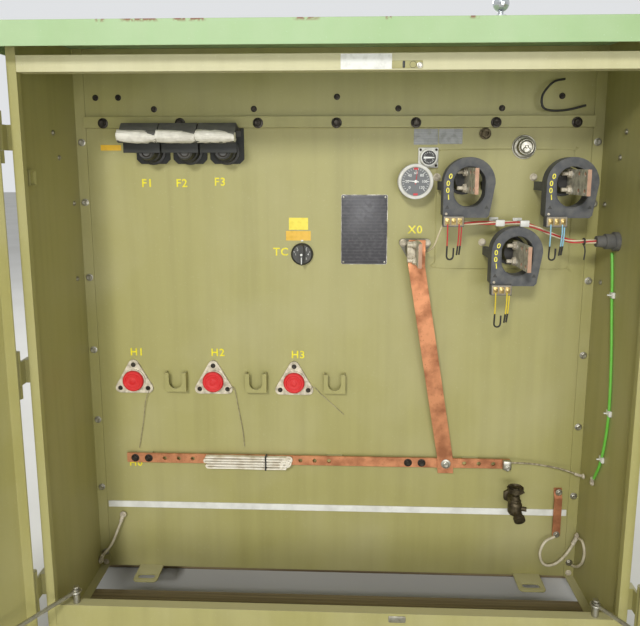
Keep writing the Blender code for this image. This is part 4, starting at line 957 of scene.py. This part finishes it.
# The guards' pads, their flaps, and the dark plates behind the fuses: the plates are painted shadow in the shape of the
# guards' shadows on the wall, and the flaps are partly dark vinyl and partly painted shade
PAD_DEPTH, PAD_Z = 0.112, 1.472
FLAP_FOOT_Z, FLAP_TOP_Z = 1.4290, 1.500
SHADOW_PLATE_FOOT_Z = 1.3980


def add_fuse_fittings(context):
    """Wrinkled pads over the guards' lips, front flaps, wall plates, end caps and pull eyes."""
    noise = bpy.data.textures.new("pad_wrinkles", "CLOUDS")
    noise.noise_scale = 0.014
    noise.noise_depth = 2
    pads, ends, eyes, flaps = [], [], [], []
    for mark in ("f1", "f2", "f3"):
        low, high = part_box("drip_guard_" + mark)
        left, right = low.x - 0.001, high.x + 0.001
        pad = rod("guard_pad_" + mark, at(left, PAD_DEPTH, PAD_Z), at(right, PAD_DEPTH, PAD_Z), 0.0205, 28)
        choose(pad, lambda side: abs(side.normal.x) > 0.9)
        bpy.ops.mesh.inset(thickness=0.0055)
        bpy.ops.mesh.inset(thickness=0.0060)
        choose(pad, lambda side: True)
        bpy.ops.mesh.subdivide(number_cuts=3)
        clear_selection()
        # Each roll slants a little, and narrows and waves towards its right end
        middle_y = at(0, PAD_DEPTH, 0).y
        for vert in pad.data.vertices:
            share = (vert.co.x - left) / (right - left)
            slant = 0.004 * (share - 0.5)
            pinch = 1.0 - 0.28 * max(0.0, share - 0.72) / 0.28
            vert.co.z = PAD_Z + (vert.co.z - PAD_Z) * 0.86 * pinch - slant
            vert.co.y = middle_y + (vert.co.y - middle_y) * (0.92 if share < 0.75 else 0.84)
            if share > 0.76:
                vert.co.y += 0.004 * sin((share - 0.76) * 40.0)
        apply_modifier(pad, "SUBSURF", levels=1, render_levels=1)
        apply_modifier(pad, "DISPLACE", texture=noise, strength=0.0065, mid_level=0.5, texture_coords="LOCAL")
        pads.append(leave(pad, 70.0))
        holder_low, holder_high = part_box("fuse_holder_" + mark)
        x = (holder_low.x + holder_high.x) / 2
        z = (holder_low.z + holder_high.z) / 2
        front = WALL_Y - holder_low.y
        collar = rod("fuse_end_" + mark, at(x, front - 0.001, z), at(x, front + 0.006, z), 0.0195, 40)
        stepped(collar, (0.0045, -0.0045))
        ends.append(eased(collar, 0.0006))
        eyes.append(ring("fuse_eye_" + mark, at(x, front + 0.003, z - 0.003), 0.0115, 0.0017))
        # Black sheet under the pad in front of the fuse: partly the guard's dark vinyl, partly painted shade
        flap = slab("guard_flap_" + mark, at(low.x + 0.001, front + 0.0076, FLAP_FOOT_Z),
                    at(high.x - 0.001, front + 0.0062, FLAP_TOP_Z))
        # Black plate on the wall with clipped lower corners, shaped like the guard's cast shadow: painted shadow
        base = slab("fuse_plate_" + mark, at(x - 0.050, 0.0036, SHADOW_PLATE_FOOT_Z), at(x + 0.050, 0.0004, FLAP_TOP_Z))
        through = runs_along(1, 0.001)
        choose(base, lambda edge: through(edge) and edge.verts[0].co.z < SHADOW_PLATE_FOOT_Z + 0.022, "edges")
        bpy.ops.mesh.bevel(offset=0.013, segments=1, affect="EDGES")
        leave(base)
        flaps += [eased(flap, 0.0004), eased(base, 0.0006)]
    fit(joined("guard_pads", pads), "pad")
    fit(joined("fuse_ends", ends), "dark_vinyl")
    fit(joined("guard_flaps", flaps), "flap")
    fit(joined("fuse_pull_eyes", eyes), "dark_bolt")


# Across and up from the right lower bolt, and ahead of the flange's face
DRAIN_OUT = 0.0096
DRAIN_ROUTES = (((0.003, 0.0, -0.004), (0.001, 0.0, -0.014), (-0.009, -0.0006, -0.040),
                 (-0.022, -0.0036, -0.120), (-0.037, -0.0036, -0.198)),
                ((0.005, 0.0, 0.0), (0.017, 0.0011, 0.008), (0.024, 0.0004, -0.008), (0.033, -0.0026, -0.066),
                 (0.044, -0.0036, -0.131), (0.049, -0.0036, -0.188)),
                ((0.005, 0.0, 0.0), (0.014, 0.0011, 0.012), (0.026, 0.0004, 0.004), (0.040, -0.0026, -0.013),
                 (0.068, -0.0036, -0.039), (0.110, -0.0036, -0.078)))


def add_drain_wires(context):
    """Thin bare wires that hang from the wells' flange nuts."""
    for index, (x, z, _) in enumerate(well_places()):
        bolt_x = x + WELL_BOLT_R * cos(radians(30))
        bolt_z = z - WELL_BOLT_R * sin(radians(30))
        corners = [at(bolt_x + across, DRAIN_OUT + ahead, bolt_z + up) for across, ahead, up in DRAIN_ROUTES[index]]
        name = "drain_wire_h%d" % (index + 1)
        cord(name + "_strand", corners, 0.0010, "strand", stands_for=(name,))


# Low-voltage side

def ct_middle(number):
    """The middle of a ring transformer's window."""
    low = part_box("current_transformer_x%d" % number)[0]
    return low.x + 0.070, low.z + 0.108


# Across and up from the window's middle, the digit, and its turn along the ring
RATIO_DIGITS = ((-0.0520, 0.0280, "0", 0.20), (-0.0580, 0.0090, "0", 0.06), (-0.0585, -0.0100, "0", -0.02),
                (-0.0560, -0.0285, "1", -0.10))


def add_ct_fittings(context):
    """Terminal screws, ratio digits, mounting marks and window rims of the ring transformers."""
    screws, pads, boards, digits, holes, rims, heads = [], [], [], [], [], [], []
    face = 0.124
    for number in (1, 2, 3):
        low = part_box("current_transformer_x%d" % number)[0]
        x, z = ct_middle(number)
        block_front = WALL_Y - low.y
        boards.append(wall_plate("block_board", low.x + 0.001, low.x + 0.055, low.z + 0.002, low.z + 0.028,
                                 block_front - 0.0004, 0.0014, 0.002, 0.001))
        for step in range(3):
            spot = at(low.x + 0.0115 + 0.0165 * step, block_front + 0.0010, low.z + 0.015)
            screws.append(spot)
            pads.append(eased(slab("block_pad", spot + Vector((-0.0066, -0.0016, -0.0090)),
                                   spot + Vector((0.0066, 0.0010, 0.0090))), 0.0008))
        for across, up, digit, turn in RATIO_DIGITS:
            digits.append(lettering("ratio_%d" % number, digit, x + across, z + up, 0.0136, face + 0.0006, turn,
                                    MARK_WEIGHT))
        for across in (-0.0585, 0.0480):
            hole = rod("ct_hole", at(x + across, face - 0.001, z - 0.0560), at(x + across, face + 0.0008, z - 0.0560),
                       0.0066, 3)
            holes.append(leave(stepped(hole, (0.0012, -0.0004))))
        heads.append(at(x - 0.0610, face, z - 0.0735))
        rounds = [(0.0445 * cos(radians(turn)), 0.0445 * sin(radians(turn)) + (0.012 if turn <= 180 else -0.012))
                  for turn in range(0, 360, 15)]
        loop = [at(x + across, face, z + up) for across, up in rounds + rounds[:1]]
        rims.append(wire("ct_window_rim", smooth_route(loop, 0.006), 0.0016))
    fit(repeated("ct_screws", pan_screw("ct_screw", 0.0052), screws), "brass")
    fit(joined("ct_contact_plates", pads), "brass")
    fit(joined("ct_block_boards", boards), "board")
    fit(joined("ct_ratio_digits", digits), "marks")
    fit(joined("ct_mounting_marks", holes), "black")
    fit(joined("ct_window_rims", rims), "resin")
    fit(repeated("ct_block_screws", pan_screw("ct_block_screw", 0.0036), heads), "flange")


def add_ct_pigtails(context):
    """Coloured lead ends looped under each ring transformer's terminal block."""
    drop = context.scene.transformer_sizes.pigtail
    for number, skin in ((1, "red_wire"), (2, "yellow_wire"), (3, "blue_wire")):
        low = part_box("current_transformer_x%d" % number)[0]
        front = WALL_Y - low.y + 0.0032
        top = low.z + 0.008
        for step, (start, back, lean, away) in enumerate(((0.0115, 0.0, 0.000, 0.0095), (0.0425, 0.0, -0.004, 0.0),
                                                          (0.0500, 0.006, -0.004, 0.0))):
            x = low.x + start
            sway = front - back
            end = at(x + lean, sway - 0.004, top - drop)
            corners = [at(x, sway, top), at(x + lean * 0.1, sway + 0.002, top - drop * 0.3),
                       at(x + lean * 0.5, sway, top - drop * 0.7), end]
            if away:
                corners += [end + Vector((away * (1 - cos(turn)), 0.002 * turn, -0.004 - away * sin(turn)))
                            for turn in (0.0, pi / 4, pi / 2, 3 * pi / 4, pi)]
                corners.append(end + Vector((away * 2.1, 0.008, 0.018)))
            name = "ct_lead_x%d_%d" % (number, step + 1)
            # Black sleeve over the lower run and loop of each lead: painted shadow, the leads' dark shadows on the wall
            # drawn round the leads themselves
            painted_shadow_sleeve = wire(name + "_sleeve", smooth_route(corners[2:], 0.004), 0.0024)
            fit(painted_shadow_sleeve, "wrap")
            cord(name, corners, 0.0018, skin, 0.004)
    x, z = ct_middle(1)
    link = [at(x - 0.0690, 0.1210, z - 0.104), at(x - 0.0745, 0.1130, z - 0.121), at(x - 0.0870, 0.0900, z - 0.166),
            at(x - 0.0990, 0.0560, z - 0.186), at(x - 0.1000, 0.0290, z - 0.186)]
    cord("ct_neutral_lead", link, 0.0022, "cream_wire")


CT_LEADS_ROUTE = ((0.3030, 0.0982, 1.2306), (0.3590, 0.0898, 1.2348), (0.4391, 0.080, 1.2348),
                  (0.5133, 0.080, 1.2348), (0.5553, 0.0842, 1.2250), (0.6038, 0.1038, 1.2049),
                  (0.6396, 0.1402, 1.192), (0.6837, 0.150, 1.192), (0.7034, 0.150, 1.192))


def add_ct_leads(context):
    """The three twisted leads between the ring transformers and the wall fitting."""
    route = smooth_route([at(*spot) for spot in CT_LEADS_ROUTE], 0.006)
    red, cream = [], []
    for strand in range(4):
        line = []
        for index, point in enumerate(route):
            ahead = (route[min(index + 1, len(route) - 1)] - route[max(index - 1, 0)]).normalized()
            side = ahead.cross(Vector((0, 0, 1))).normalized()
            up = side.cross(ahead)
            turn = strand * pi / 2 + index * 0.16
            line.append(point + (side * cos(turn) + up * sin(turn)) * 0.0035)
        (red if strand % 2 else cream).append(wire("ct_lead_%d" % strand, line, 0.0021))
    fit(joined("ct_leads_red", red), "red_wire", stands_for=("ct_leads",))
    fit(joined("ct_leads_cream", cream), "cream_wire")
    tags = []
    for x, z in ((0.462, 1.2348), (0.530, 1.2332)):
        base = wall_plate("tie_base", x - 0.013, x + 0.013, z - 0.010, z + 0.010, 0.0014, 0.0050, 0.002, 0.001)
        band = eased(slab("tie_band", at(x - 0.0125, 0.0885, z - 0.0090), at(x + 0.0125, 0.0715, z + 0.0090)), 0.0016)
        post = slab("tie_post", at(x - 0.003, 0.074, z - 0.003), at(x + 0.003, 0.006, z + 0.003))
        tags += [base, band, eased(post, 0.0008)]
    fit(joined("lead_ties", tags), "white")
    clip_x, clip_z = 0.672, 1.192
    band = ring("clip_band", at(clip_x, 0.150, clip_z), 0.0080, 0.0022, (0, pi / 2, 0))
    tail = wire("clip_tail", smooth_route([at(clip_x, 0.150, clip_z - 0.008), at(clip_x + 0.004, 0.152, clip_z - 0.025),
                                           at(clip_x + 0.003, 0.150, clip_z - 0.050)], 0.004), 0.0019)
    fit(joined("lead_clip", (band, tail)), "black_wire")


# Left face, depth and height of the blades' roots at X0 to X3, and half the pitch of their bolts
SPADE_ROOTS = ((0.2295, 0.082, 1.149), (0.362, 0.090, 1.354), (0.507, 0.090, 1.150), (0.647, 0.090, 1.350))
HALF_PITCH = 0.0222


def add_terminal_bolts(context):
    """Flange bolts of the terminals, bolts at the spades' roots, and the neutral clamp."""
    low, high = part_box("lv_terminal_x0")
    x, z = (low.x + high.x) / 2, SPADE_ROOTS[0][2]
    spots = [at(x + 0.040 * cos(radians(turn)), 0.0103, z + 0.040 * sin(radians(turn))) for turn in (30, 150, 270)]
    places = [ct_middle(number) for number in (1, 2, 3)]
    spots += [at(middle_x - 0.072, 0.0016, middle_z + 0.024) for middle_x, middle_z in places]
    fit(repeated("terminal_flange_bolts", hex_bolt("flange_nut", 0.0086, 0.0110), spots), "flange")
    roots = [on_side(1, face_x, depth, blade_z + up) for face_x, depth, blade_z in SPADE_ROOTS
             for up in (-HALF_PITCH, HALF_PITCH)]
    shank = rod("root_shank", (0, -0.008, 0), (0, -0.023, 0), 0.0056, 20)
    leave(stepped(shank, (0.0012, 0.0012)))
    bolt = joined("root_bolt", (hex_bolt("root_nut", 0.0112, 0.0135), shank))
    fit(repeated("spade_root_bolts", bolt, roots), "flange")
    clamp = eased(slab("neutral_clamp", at(0.2060, 0.0750, 1.1230), at(0.2290, 0.0667, 1.1800)), 0.0022)
    fit(clamp, "flange")


# Grounding

def add_ground_bar_fittings(context):
    """Bolts of the ground bar, the neutral strap's bolt and the bare wire's clamp."""
    dark = [at(x, 0.0180, 0.4835) for x in (-0.628, -0.585, 0.228, 0.270)]
    fit(repeated("ground_bar_bolts", hex_bolt("bar_bolt", 0.0095, 0.0125), dark), "dark_bolt")
    bright = moved(hex_bolt("strap_bolt", 0.0092, 0.0150), at(0.344, 0.0225, 0.4835))
    fit(joined("neutral_strap_bolt", (bright,)), "zinc")
    body = slab("ground_clamp", at(0.517, 0.034, 0.470), at(0.543, 0.018, 0.500))
    eased(body, 0.004)
    stud = moved(hex_bolt("clamp_stud", 0.0070, 0.0095), at(0.530, 0.034, 0.478))
    fit(joined("ground_wire_clamp", (body, stud)), "zinc")
    route = [at(0.520, 0.030, 0.4945), at(0.560, 0.030, 0.4945), at(0.620, 0.026, 0.4890),
             at(0.690, 0.030, 0.4780), at(0.738, 0.040, 0.4660)]
    cord("bare_ground_wire", route, 0.0028, "strand")
    lug = cable_lug("bare_wire_lug", at(0.732, 0.039, 0.4665), at(0.755, 0.046, 0.4625), 0.0034, (1, 0, 0))
    end = cable_lug("green_wire_lug", at(0.754, 0.117, 0.4930), at(0.757, 0.110, 0.4760), 0.0044, (1, 0, 0))
    bolts = [on_side(1, 0.7565, depth, z) for depth, z in ((0.046, 0.4625), (0.110, 0.4760))]
    studs = repeated("lug_bolts", hex_bolt("lug_bolt", 0.0062, 0.0085), bolts)
    fit(joined("ground_lugs", (lug, end, studs)), "flange")


def add_corner_bonds(context):
    """Strap bolts and the braided bonds at both lower corners."""
    spots = [at(0.697, 0.0145, 0.392), at(0.697, 0.0145, 0.250)]
    fit(repeated("ground_strap_bolts", hex_bolt("strap_end_bolt", 0.0075, 0.0105), spots), "zinc")
    loop = [at(0.692, 0.018, 0.245), at(0.662, 0.024, 0.232), at(0.645, 0.030, 0.200), at(0.650, 0.034, 0.170),
            at(0.668, 0.034, 0.156), at(0.695, 0.034, 0.164), at(0.722, 0.034, 0.192), at(0.744, 0.032, 0.228),
            at(0.754, 0.030, 0.246)]
    arc = [at(0.755, 0.046, 0.258), at(0.757, 0.072, 0.262), at(0.758, 0.088, 0.238), at(0.757, 0.080, 0.200),
           at(0.754, 0.050, 0.165), at(0.750, 0.022, 0.150)]
    left = [at(-0.682, 0.014, 0.272), at(-0.695, 0.018, 0.240), at(-0.716, 0.024, 0.190), at(-0.742, 0.026, 0.155),
            at(-0.756, 0.024, 0.140)]
    for name, corners in (("bond_loop", loop), ("bond_arc", arc), ("bond_left", left)):
        cord(name, corners, 0.0042, "braid")
    lugs = [cable_lug("bond_lug", at(0.744, 0.030, 0.228), at(0.756, 0.030, 0.255), 0.0050, (1, 0, 0)),
            cable_lug("bond_lug_top", at(-0.687, 0.014, 0.262), at(-0.680, 0.010, 0.284), 0.0048, (0, 1, 0)),
            cable_lug("bond_lug_low", at(-0.748, 0.026, 0.150), at(-0.757, 0.024, 0.128), 0.0048, (1, 0, 0))]
    bolts = [Matrix.Translation(at(-0.680, 0.0115, 0.284)),
             on_side(1, 0.7545, 0.030, 0.255), on_side(-1, -0.7545, 0.024, 0.128),
             Matrix.Translation(at(0.7465, 0.0033, 0.112)), Matrix.Translation(at(-0.7465, 0.0033, 0.112))]
    lugs.append(repeated("bond_bolts", hex_bolt("bond_bolt", 0.0070, 0.0098), bolts))
    fit(joined("bond_lugs", lugs), "flange")


def add_strap_bundle(context):
    """A folded white strap that rests along the ground bar, held by a black tie."""
    left, right = -0.402, -0.150
    pitch, thick, depth = 0.0088, 0.0046, 0.015
    corners = []
    for layer in range(5):
        z = 0.4965 - pitch * layer
        lead = left + 0.003 * layer if layer % 2 == 0 else right
        tail = right if layer % 2 == 0 else left + 0.003 * layer
        run = [(lead, z), (lead * 0.7 + tail * 0.3, z + 0.0006), (lead * 0.3 + tail * 0.7, z - 0.0006), (tail, z)]
        corners += run
        if layer < 4:
            bulge = 0.006 if tail > lead else -0.006
            corners.append((tail + bulge, z - pitch / 2))
    route = smooth_route([(x, 0.0, z) for x, z in corners], 0.004)
    bm = bmesh.new()
    rows = []
    for point in route:
        rows.append([bm.verts.new((point.x, WALL_Y - 0.0195 - depth * share, point.z)) for share in (0.0, 0.5, 1.0)])
    for first, second in zip(rows, rows[1:]):
        for column in range(2):
            bm.faces.new((first[column], first[column + 1], second[column + 1], second[column]))
    data = bpy.data.meshes.new("folded_strap")
    bm.to_mesh(data)
    bm.free()
    strap = bpy.data.objects.new("folded_strap", data)
    bpy.context.collection.objects.link(strap)
    apply_modifier(strap, "SOLIDIFY", thickness=thick, offset=0.0)
    eased(strap, 0.0007, 2, 50.0)
    fit(strap, "webbing", stands_for=("strap_bundle",))
    curls = []
    for index, (x, z, radius) in enumerate(((-0.150, 0.480, 0.014), (-0.158, 0.470, 0.010), (-0.142, 0.490, 0.009))):
        curls.append(ring("strap_curl_%d" % index, at(x, 0.0285, z), radius, 0.0034, (pi / 2, 0.2 * index, 0)))
    fit(joined("strap_curls", curls), "webbing")
    tie = slab("strap_tie", at(-0.216, 0.0365, 0.4555), at(-0.211, 0.0180, 0.5010))
    choose(tie, lambda side: side.normal.z > 0.9)
    bpy.ops.mesh.extrude_region_move(TRANSFORM_OT_translate={"value": (0.002, 0.0, 0.004)})
    fit(eased(tie, 0.0012), "black")


def add_wall_wire_ties(context):
    """White tie mounts that hold the green wire, and the dark cable under the hood."""
    ties = []
    for depth, z in ((0.150, 1.045), (0.185, 0.720), (0.160, 0.573)):
        low = Vector((0.7540, WALL_Y - depth - 0.011, z - 0.008))
        high = Vector((0.7618, WALL_Y - depth + 0.011, z + 0.008))
        ties.append(eased(slab("wall_tie_base", low, high), 0.0012))
        ties.append(ring("wall_tie_band", Vector((0.7575, WALL_Y - depth, z)), 0.0062, 0.0013, (0, 0, 0)))
        ties.append(eased(slab("wall_tie_tail", Vector((0.7440, WALL_Y - depth - 0.0015, z - 0.002)),
                               Vector((0.7545, WALL_Y - depth + 0.0015, z + 0.002))), 0.0005))
    fit(joined("green_wire_ties", ties), "white")
    loop = [at(0.638, 0.020, 1.632), at(0.603, 0.032, 1.622), at(0.575, 0.036, 1.588), at(0.577, 0.034, 1.556),
            at(0.602, 0.028, 1.546), at(0.650, 0.022, 1.548), at(0.700, 0.022, 1.560)]
    cord("hood_cable", loop, 0.0032, "black_wire")


def add_drain_valve_details(context):
    """Hexagon collars of the drain valve, and its knurled round cap on the handle's place."""
    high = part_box("drain_valve")[1]
    x, z = 0.551, 0.374
    collar = rod("valve_bonnet", (x, WALL_Y - 0.060, z + 0.008), (x, WALL_Y - 0.060, z + 0.018), 0.0185, 6)
    eased(collar, 0.0012)
    wheel = rod("valve_seat", (x, WALL_Y - 0.060, high.z - 0.004), (x, WALL_Y - 0.060, high.z), 0.0120, 24)
    eased(wheel, 0.0012)
    nipple = rod("valve_flange", at(x, 0.0, z), at(x, 0.010, z), 0.0240, 6)
    eased(nipple, 0.0014)
    fit(joined("valve_collars", (collar, wheel, nipple)), "bronze")
    handle_low, handle_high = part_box("drain_handle")
    cap = rod("valve_cap", (x, WALL_Y - 0.060, handle_low.z), (x, WALL_Y - 0.060, handle_high.z), 0.0225, 48)
    choose(cap, lambda side: abs(side.normal.z) < 0.1 and int((side.calc_center_median() - Vector(
        (x, WALL_Y - 0.060, 0.0))).to_2d().angle_signed(Vector((1.0, 0.0))) * 24 / pi + 48.5) % 2 == 0)
    bpy.ops.mesh.inset(thickness=0.0003, depth=0.0010, use_individual=True)
    choose(cap, lambda side: side.normal.z > 0.9)
    bpy.ops.mesh.inset(thickness=0.0045)
    bpy.ops.transform.translate(value=(0.0, 0.0, -0.0050))
    bpy.ops.mesh.inset(thickness=0.0070)
    bpy.ops.mesh.extrude_region_move(TRANSFORM_OT_translate={"value": (0.0, 0.0, 0.0040)})
    fit(leave(cap, 25.0), "bronze", "valve_handle", ("drain_handle",))


# Cabinet details

def add_header_latch(context):
    """The catch plate in the door header, with its keyhole, port and bolt."""
    plate = wall_plate("latch_plate", 0.133, 0.203, 1.6135, 1.6305, 0.3702, 0.0016, 0.002, 0.0008)
    fit(plate, "enamel")
    key = wall_plate("latch_slot", 0.157, 0.163, 1.6140, 1.6300, 0.3712, 0.0010, 0.0024, 0.0004)
    port = rod("latch_port", at(0.181, 0.3710, 1.6215), at(0.181, 0.3728, 1.6215), 0.0078, 32)
    leave(stepped(port, (0.0014, -0.0010)))
    fit(joined("latch_openings", (key, port)), "black")
    bolt = moved(hex_bolt("latch_bolt", 0.0052, 0.0070), at(0.1965, 0.3722, 1.6200))
    fit(joined("latch_bolt", (bolt,)), "zinc")
    keeper = wall_plate("sill_keeper", 0.149, 0.194, 0.206, 0.224, 0.3702, 0.0020, 0.003, 0.0008)
    fit(keeper, "zinc")
    catches = []
    for side in (-1, 1):
        arm = slab("catch_arm", (side * 0.7545 - 0.0075, -0.168, 1.345), (side * 0.7545 + 0.0075, -0.135, 1.383))
        choose(arm, lambda face: face.normal.x * side < -0.9)
        bpy.ops.mesh.inset(thickness=0.006)
        bpy.ops.transform.translate(value=(side * 0.006, 0.0, 0.0))
        catches.append(eased(arm, 0.0012))
    fit(joined("door_catches", catches), "enamel")


def add_anchor_brackets(context):
    """Slotted hold-down tabs welded under the tank's front wall."""
    parts = []
    for left, right in ((-0.634, -0.557), (0.572, 0.655)):
        tab = slab("anchor_tab", at(left, 0.086, 0.0984), at(right, 0.0, 0.1034))
        upright = runs_along(2, 0.004)
        choose(tab, lambda edge: upright(edge) and edge.verts[0].co.y < WALL_Y - 0.05, "edges")
        bpy.ops.mesh.bevel(offset=0.014, segments=5, affect="EDGES")
        leave(tab)
        middle = (left + right) / 2
        slot = slab("anchor_slot", at(middle - 0.027, 0.070, 0.09), at(middle + 0.027, 0.050, 0.11))
        choose(slot, upright, "edges")
        bpy.ops.mesh.bevel(offset=0.0095, segments=4, affect="EDGES")
        leave(slot)
        apply_modifier(tab, "BOOLEAN", operation="DIFFERENCE", object=slot, solver="EXACT")
        bpy.data.objects.remove(slot, do_unlink=True)
        parts.append(eased(tab, 0.0010))
    fit(joined("anchor_brackets", parts), "enamel")


def add_stay_hooks(context):
    """Eyes where the door stays turn, and the nuts on their posts."""
    for name, side, body in (("left", -1, "left_stay"), ("right", 1, "right_stay")):
        foot = Vector((side * 0.689, -0.196, 0.262))
        eye = ring("stay_eye_" + name, foot, 0.0118, 0.0030, (0, 0, 0))
        cap = rod("stay_nut_" + name, foot + Vector((0, 0, 0.0085)), foot + Vector((0, 0, 0.0145)), 0.0085, 6)
        eased(cap, 0.0009)
        fit(joined("stay_eye_" + name, (eye, cap)), "zinc", body)


def add_welds(context):
    """Weld beads along the tank's corners, rail and fin roots."""
    beads = []
    low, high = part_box("tank_body")
    for x in (low.x, high.x):
        beads.append(wire("tank_corner_weld", smooth_route([(x, high.y, 0.11), (x, high.y, 0.8), (x, high.y, 1.52)],
                                                           0.05), 0.0030))
    for bank in ("fin_bank_left", "fin_bank_right"):
        bank_low, bank_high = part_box(bank)
        y = high.y + 0.001
        for z in (bank_low.z, bank_high.z):
            run = [(bank_low.x, y, z), (0.5 * (bank_low.x + bank_high.x), y, z), (bank_high.x, y, z)]
            beads.append(wire("fin_root_weld", smooth_route(run, 0.05), 0.0030))
    fit(joined("weld_beads", beads), "enamel")


GROUPS = (
    ("stage", "Stage", "Camera, pale floor and soft lamps.", build_stage),
    ("solids", "Finish the solids", "Give every solid the finish of its real material.", finish_solids),
    ("drain_wires", "Drain wires", "Add the thin wires under the wells.", add_drain_wires),
    ("pigtails", "Lead ends", "Add the coloured lead ends.", add_ct_pigtails),
    ("ct_leads", "Transformer leads", "Add the twisted leads, their ties and clip.", add_ct_leads),
    ("bonds", "Corner bonds", "Add the braided bonds and their lugs.", add_corner_bonds),
    ("ground_bar", "Ground bar fittings", "Add the ground bar's bolts, clamp and wire.", add_ground_bar_fittings),
    ("wall_bolts", "Bolts", "Add the bolts of the cabinet, rail, hood and cover.", add_wall_bolts),
    ("marks", "Terminal marks", "Add the yellow terminal marks.", add_marks),
    ("labels", "Labels", "Add the nameplate and the bare labels.", add_labels),
    ("terminal_plate", "Terminal plate", "Add the plate behind the phase terminals.", add_low_voltage_plate),
    ("thermometer", "Thermometer", "Add the thermometer's bezel, face and pointers.", add_thermometer),
    ("level_gauge", "Level gauge", "Add the level gauge's face, screws and pointer.", add_level_gauge),
    ("tap_dial", "Tap changer dial", "Add the tap changer's digits and index.", add_tap_dial),
    ("relief", "Relief valve and plug", "Add the relief valve's rings and the plug.", add_relief_and_plug),
    ("wells", "Bushing wells", "Add the wells' nuts and the caps' rims.", add_well_fittings),
    ("fuses", "Fuses", "Add the guards' pads and flaps, fuse ends and eyes.", add_fuse_fittings),
    ("ct_fittings", "Ring transformers", "Add screws, digits and marks to the ring transformers.", add_ct_fittings),
    ("terminal_bolts", "Terminal bolts", "Add the bolts of the terminals and spades.", add_terminal_bolts),
    ("strap", "Folded strap", "Add the folded strap and its tie.", add_strap_bundle),
    ("wire_ties", "Wire ties", "Add the green wire's ties and the hood cable.", add_wall_wire_ties),
    ("drain_valve", "Drain valve", "Add the drain valve's collars and round cap.", add_drain_valve_details),
    ("latch", "Latch and catches", "Add the header latch, sill keeper and catches.", add_header_latch),
    ("anchors", "Anchor brackets", "Add the slotted hold-down tabs.", add_anchor_brackets),
    ("stays", "Stay eyes", "Add the eyes of the door stays.", add_stay_hooks),
    ("welds", "Welds", "Add the weld beads.", add_welds),
)
OPERATORS = [group(*row) for row in GROUPS]


class TRANSFORMER_PT_looks(bpy.types.Panel):
    """Sidebar panel with the looks of the transformer."""
    bl_label = "Transformer looks"
    bl_idname = "TRANSFORMER_PT_looks"
    bl_space_type = "VIEW_3D"
    bl_region_type = "UI"
    bl_category = "Transformer"

    def draw(self, context):
        layout = self.layout
        for settings in (context.scene.transformer_colours, context.scene.transformer_sizes):
            for name in settings.__annotations__:
                layout.prop(settings, name)
        for row in GROUPS:
            layout.operator("transformer." + row[0])


CLASSES = [TransformerColours, TransformerSizes] + OPERATORS + [TRANSFORMER_PT_looks]


def register():
    for item in CLASSES:
        bpy.utils.register_class(item)
    bpy.types.Scene.transformer_colours = PointerProperty(type=TransformerColours)
    bpy.types.Scene.transformer_sizes = PointerProperty(type=TransformerSizes)


def unregister():
    del bpy.types.Scene.transformer_sizes
    del bpy.types.Scene.transformer_colours
    for item in reversed(CLASSES):
        bpy.utils.unregister_class(item)


def main():
    register()
    for row in GROUPS:
        getattr(bpy.ops.transformer, row[0])()


if __name__ == "__main__":
    main()
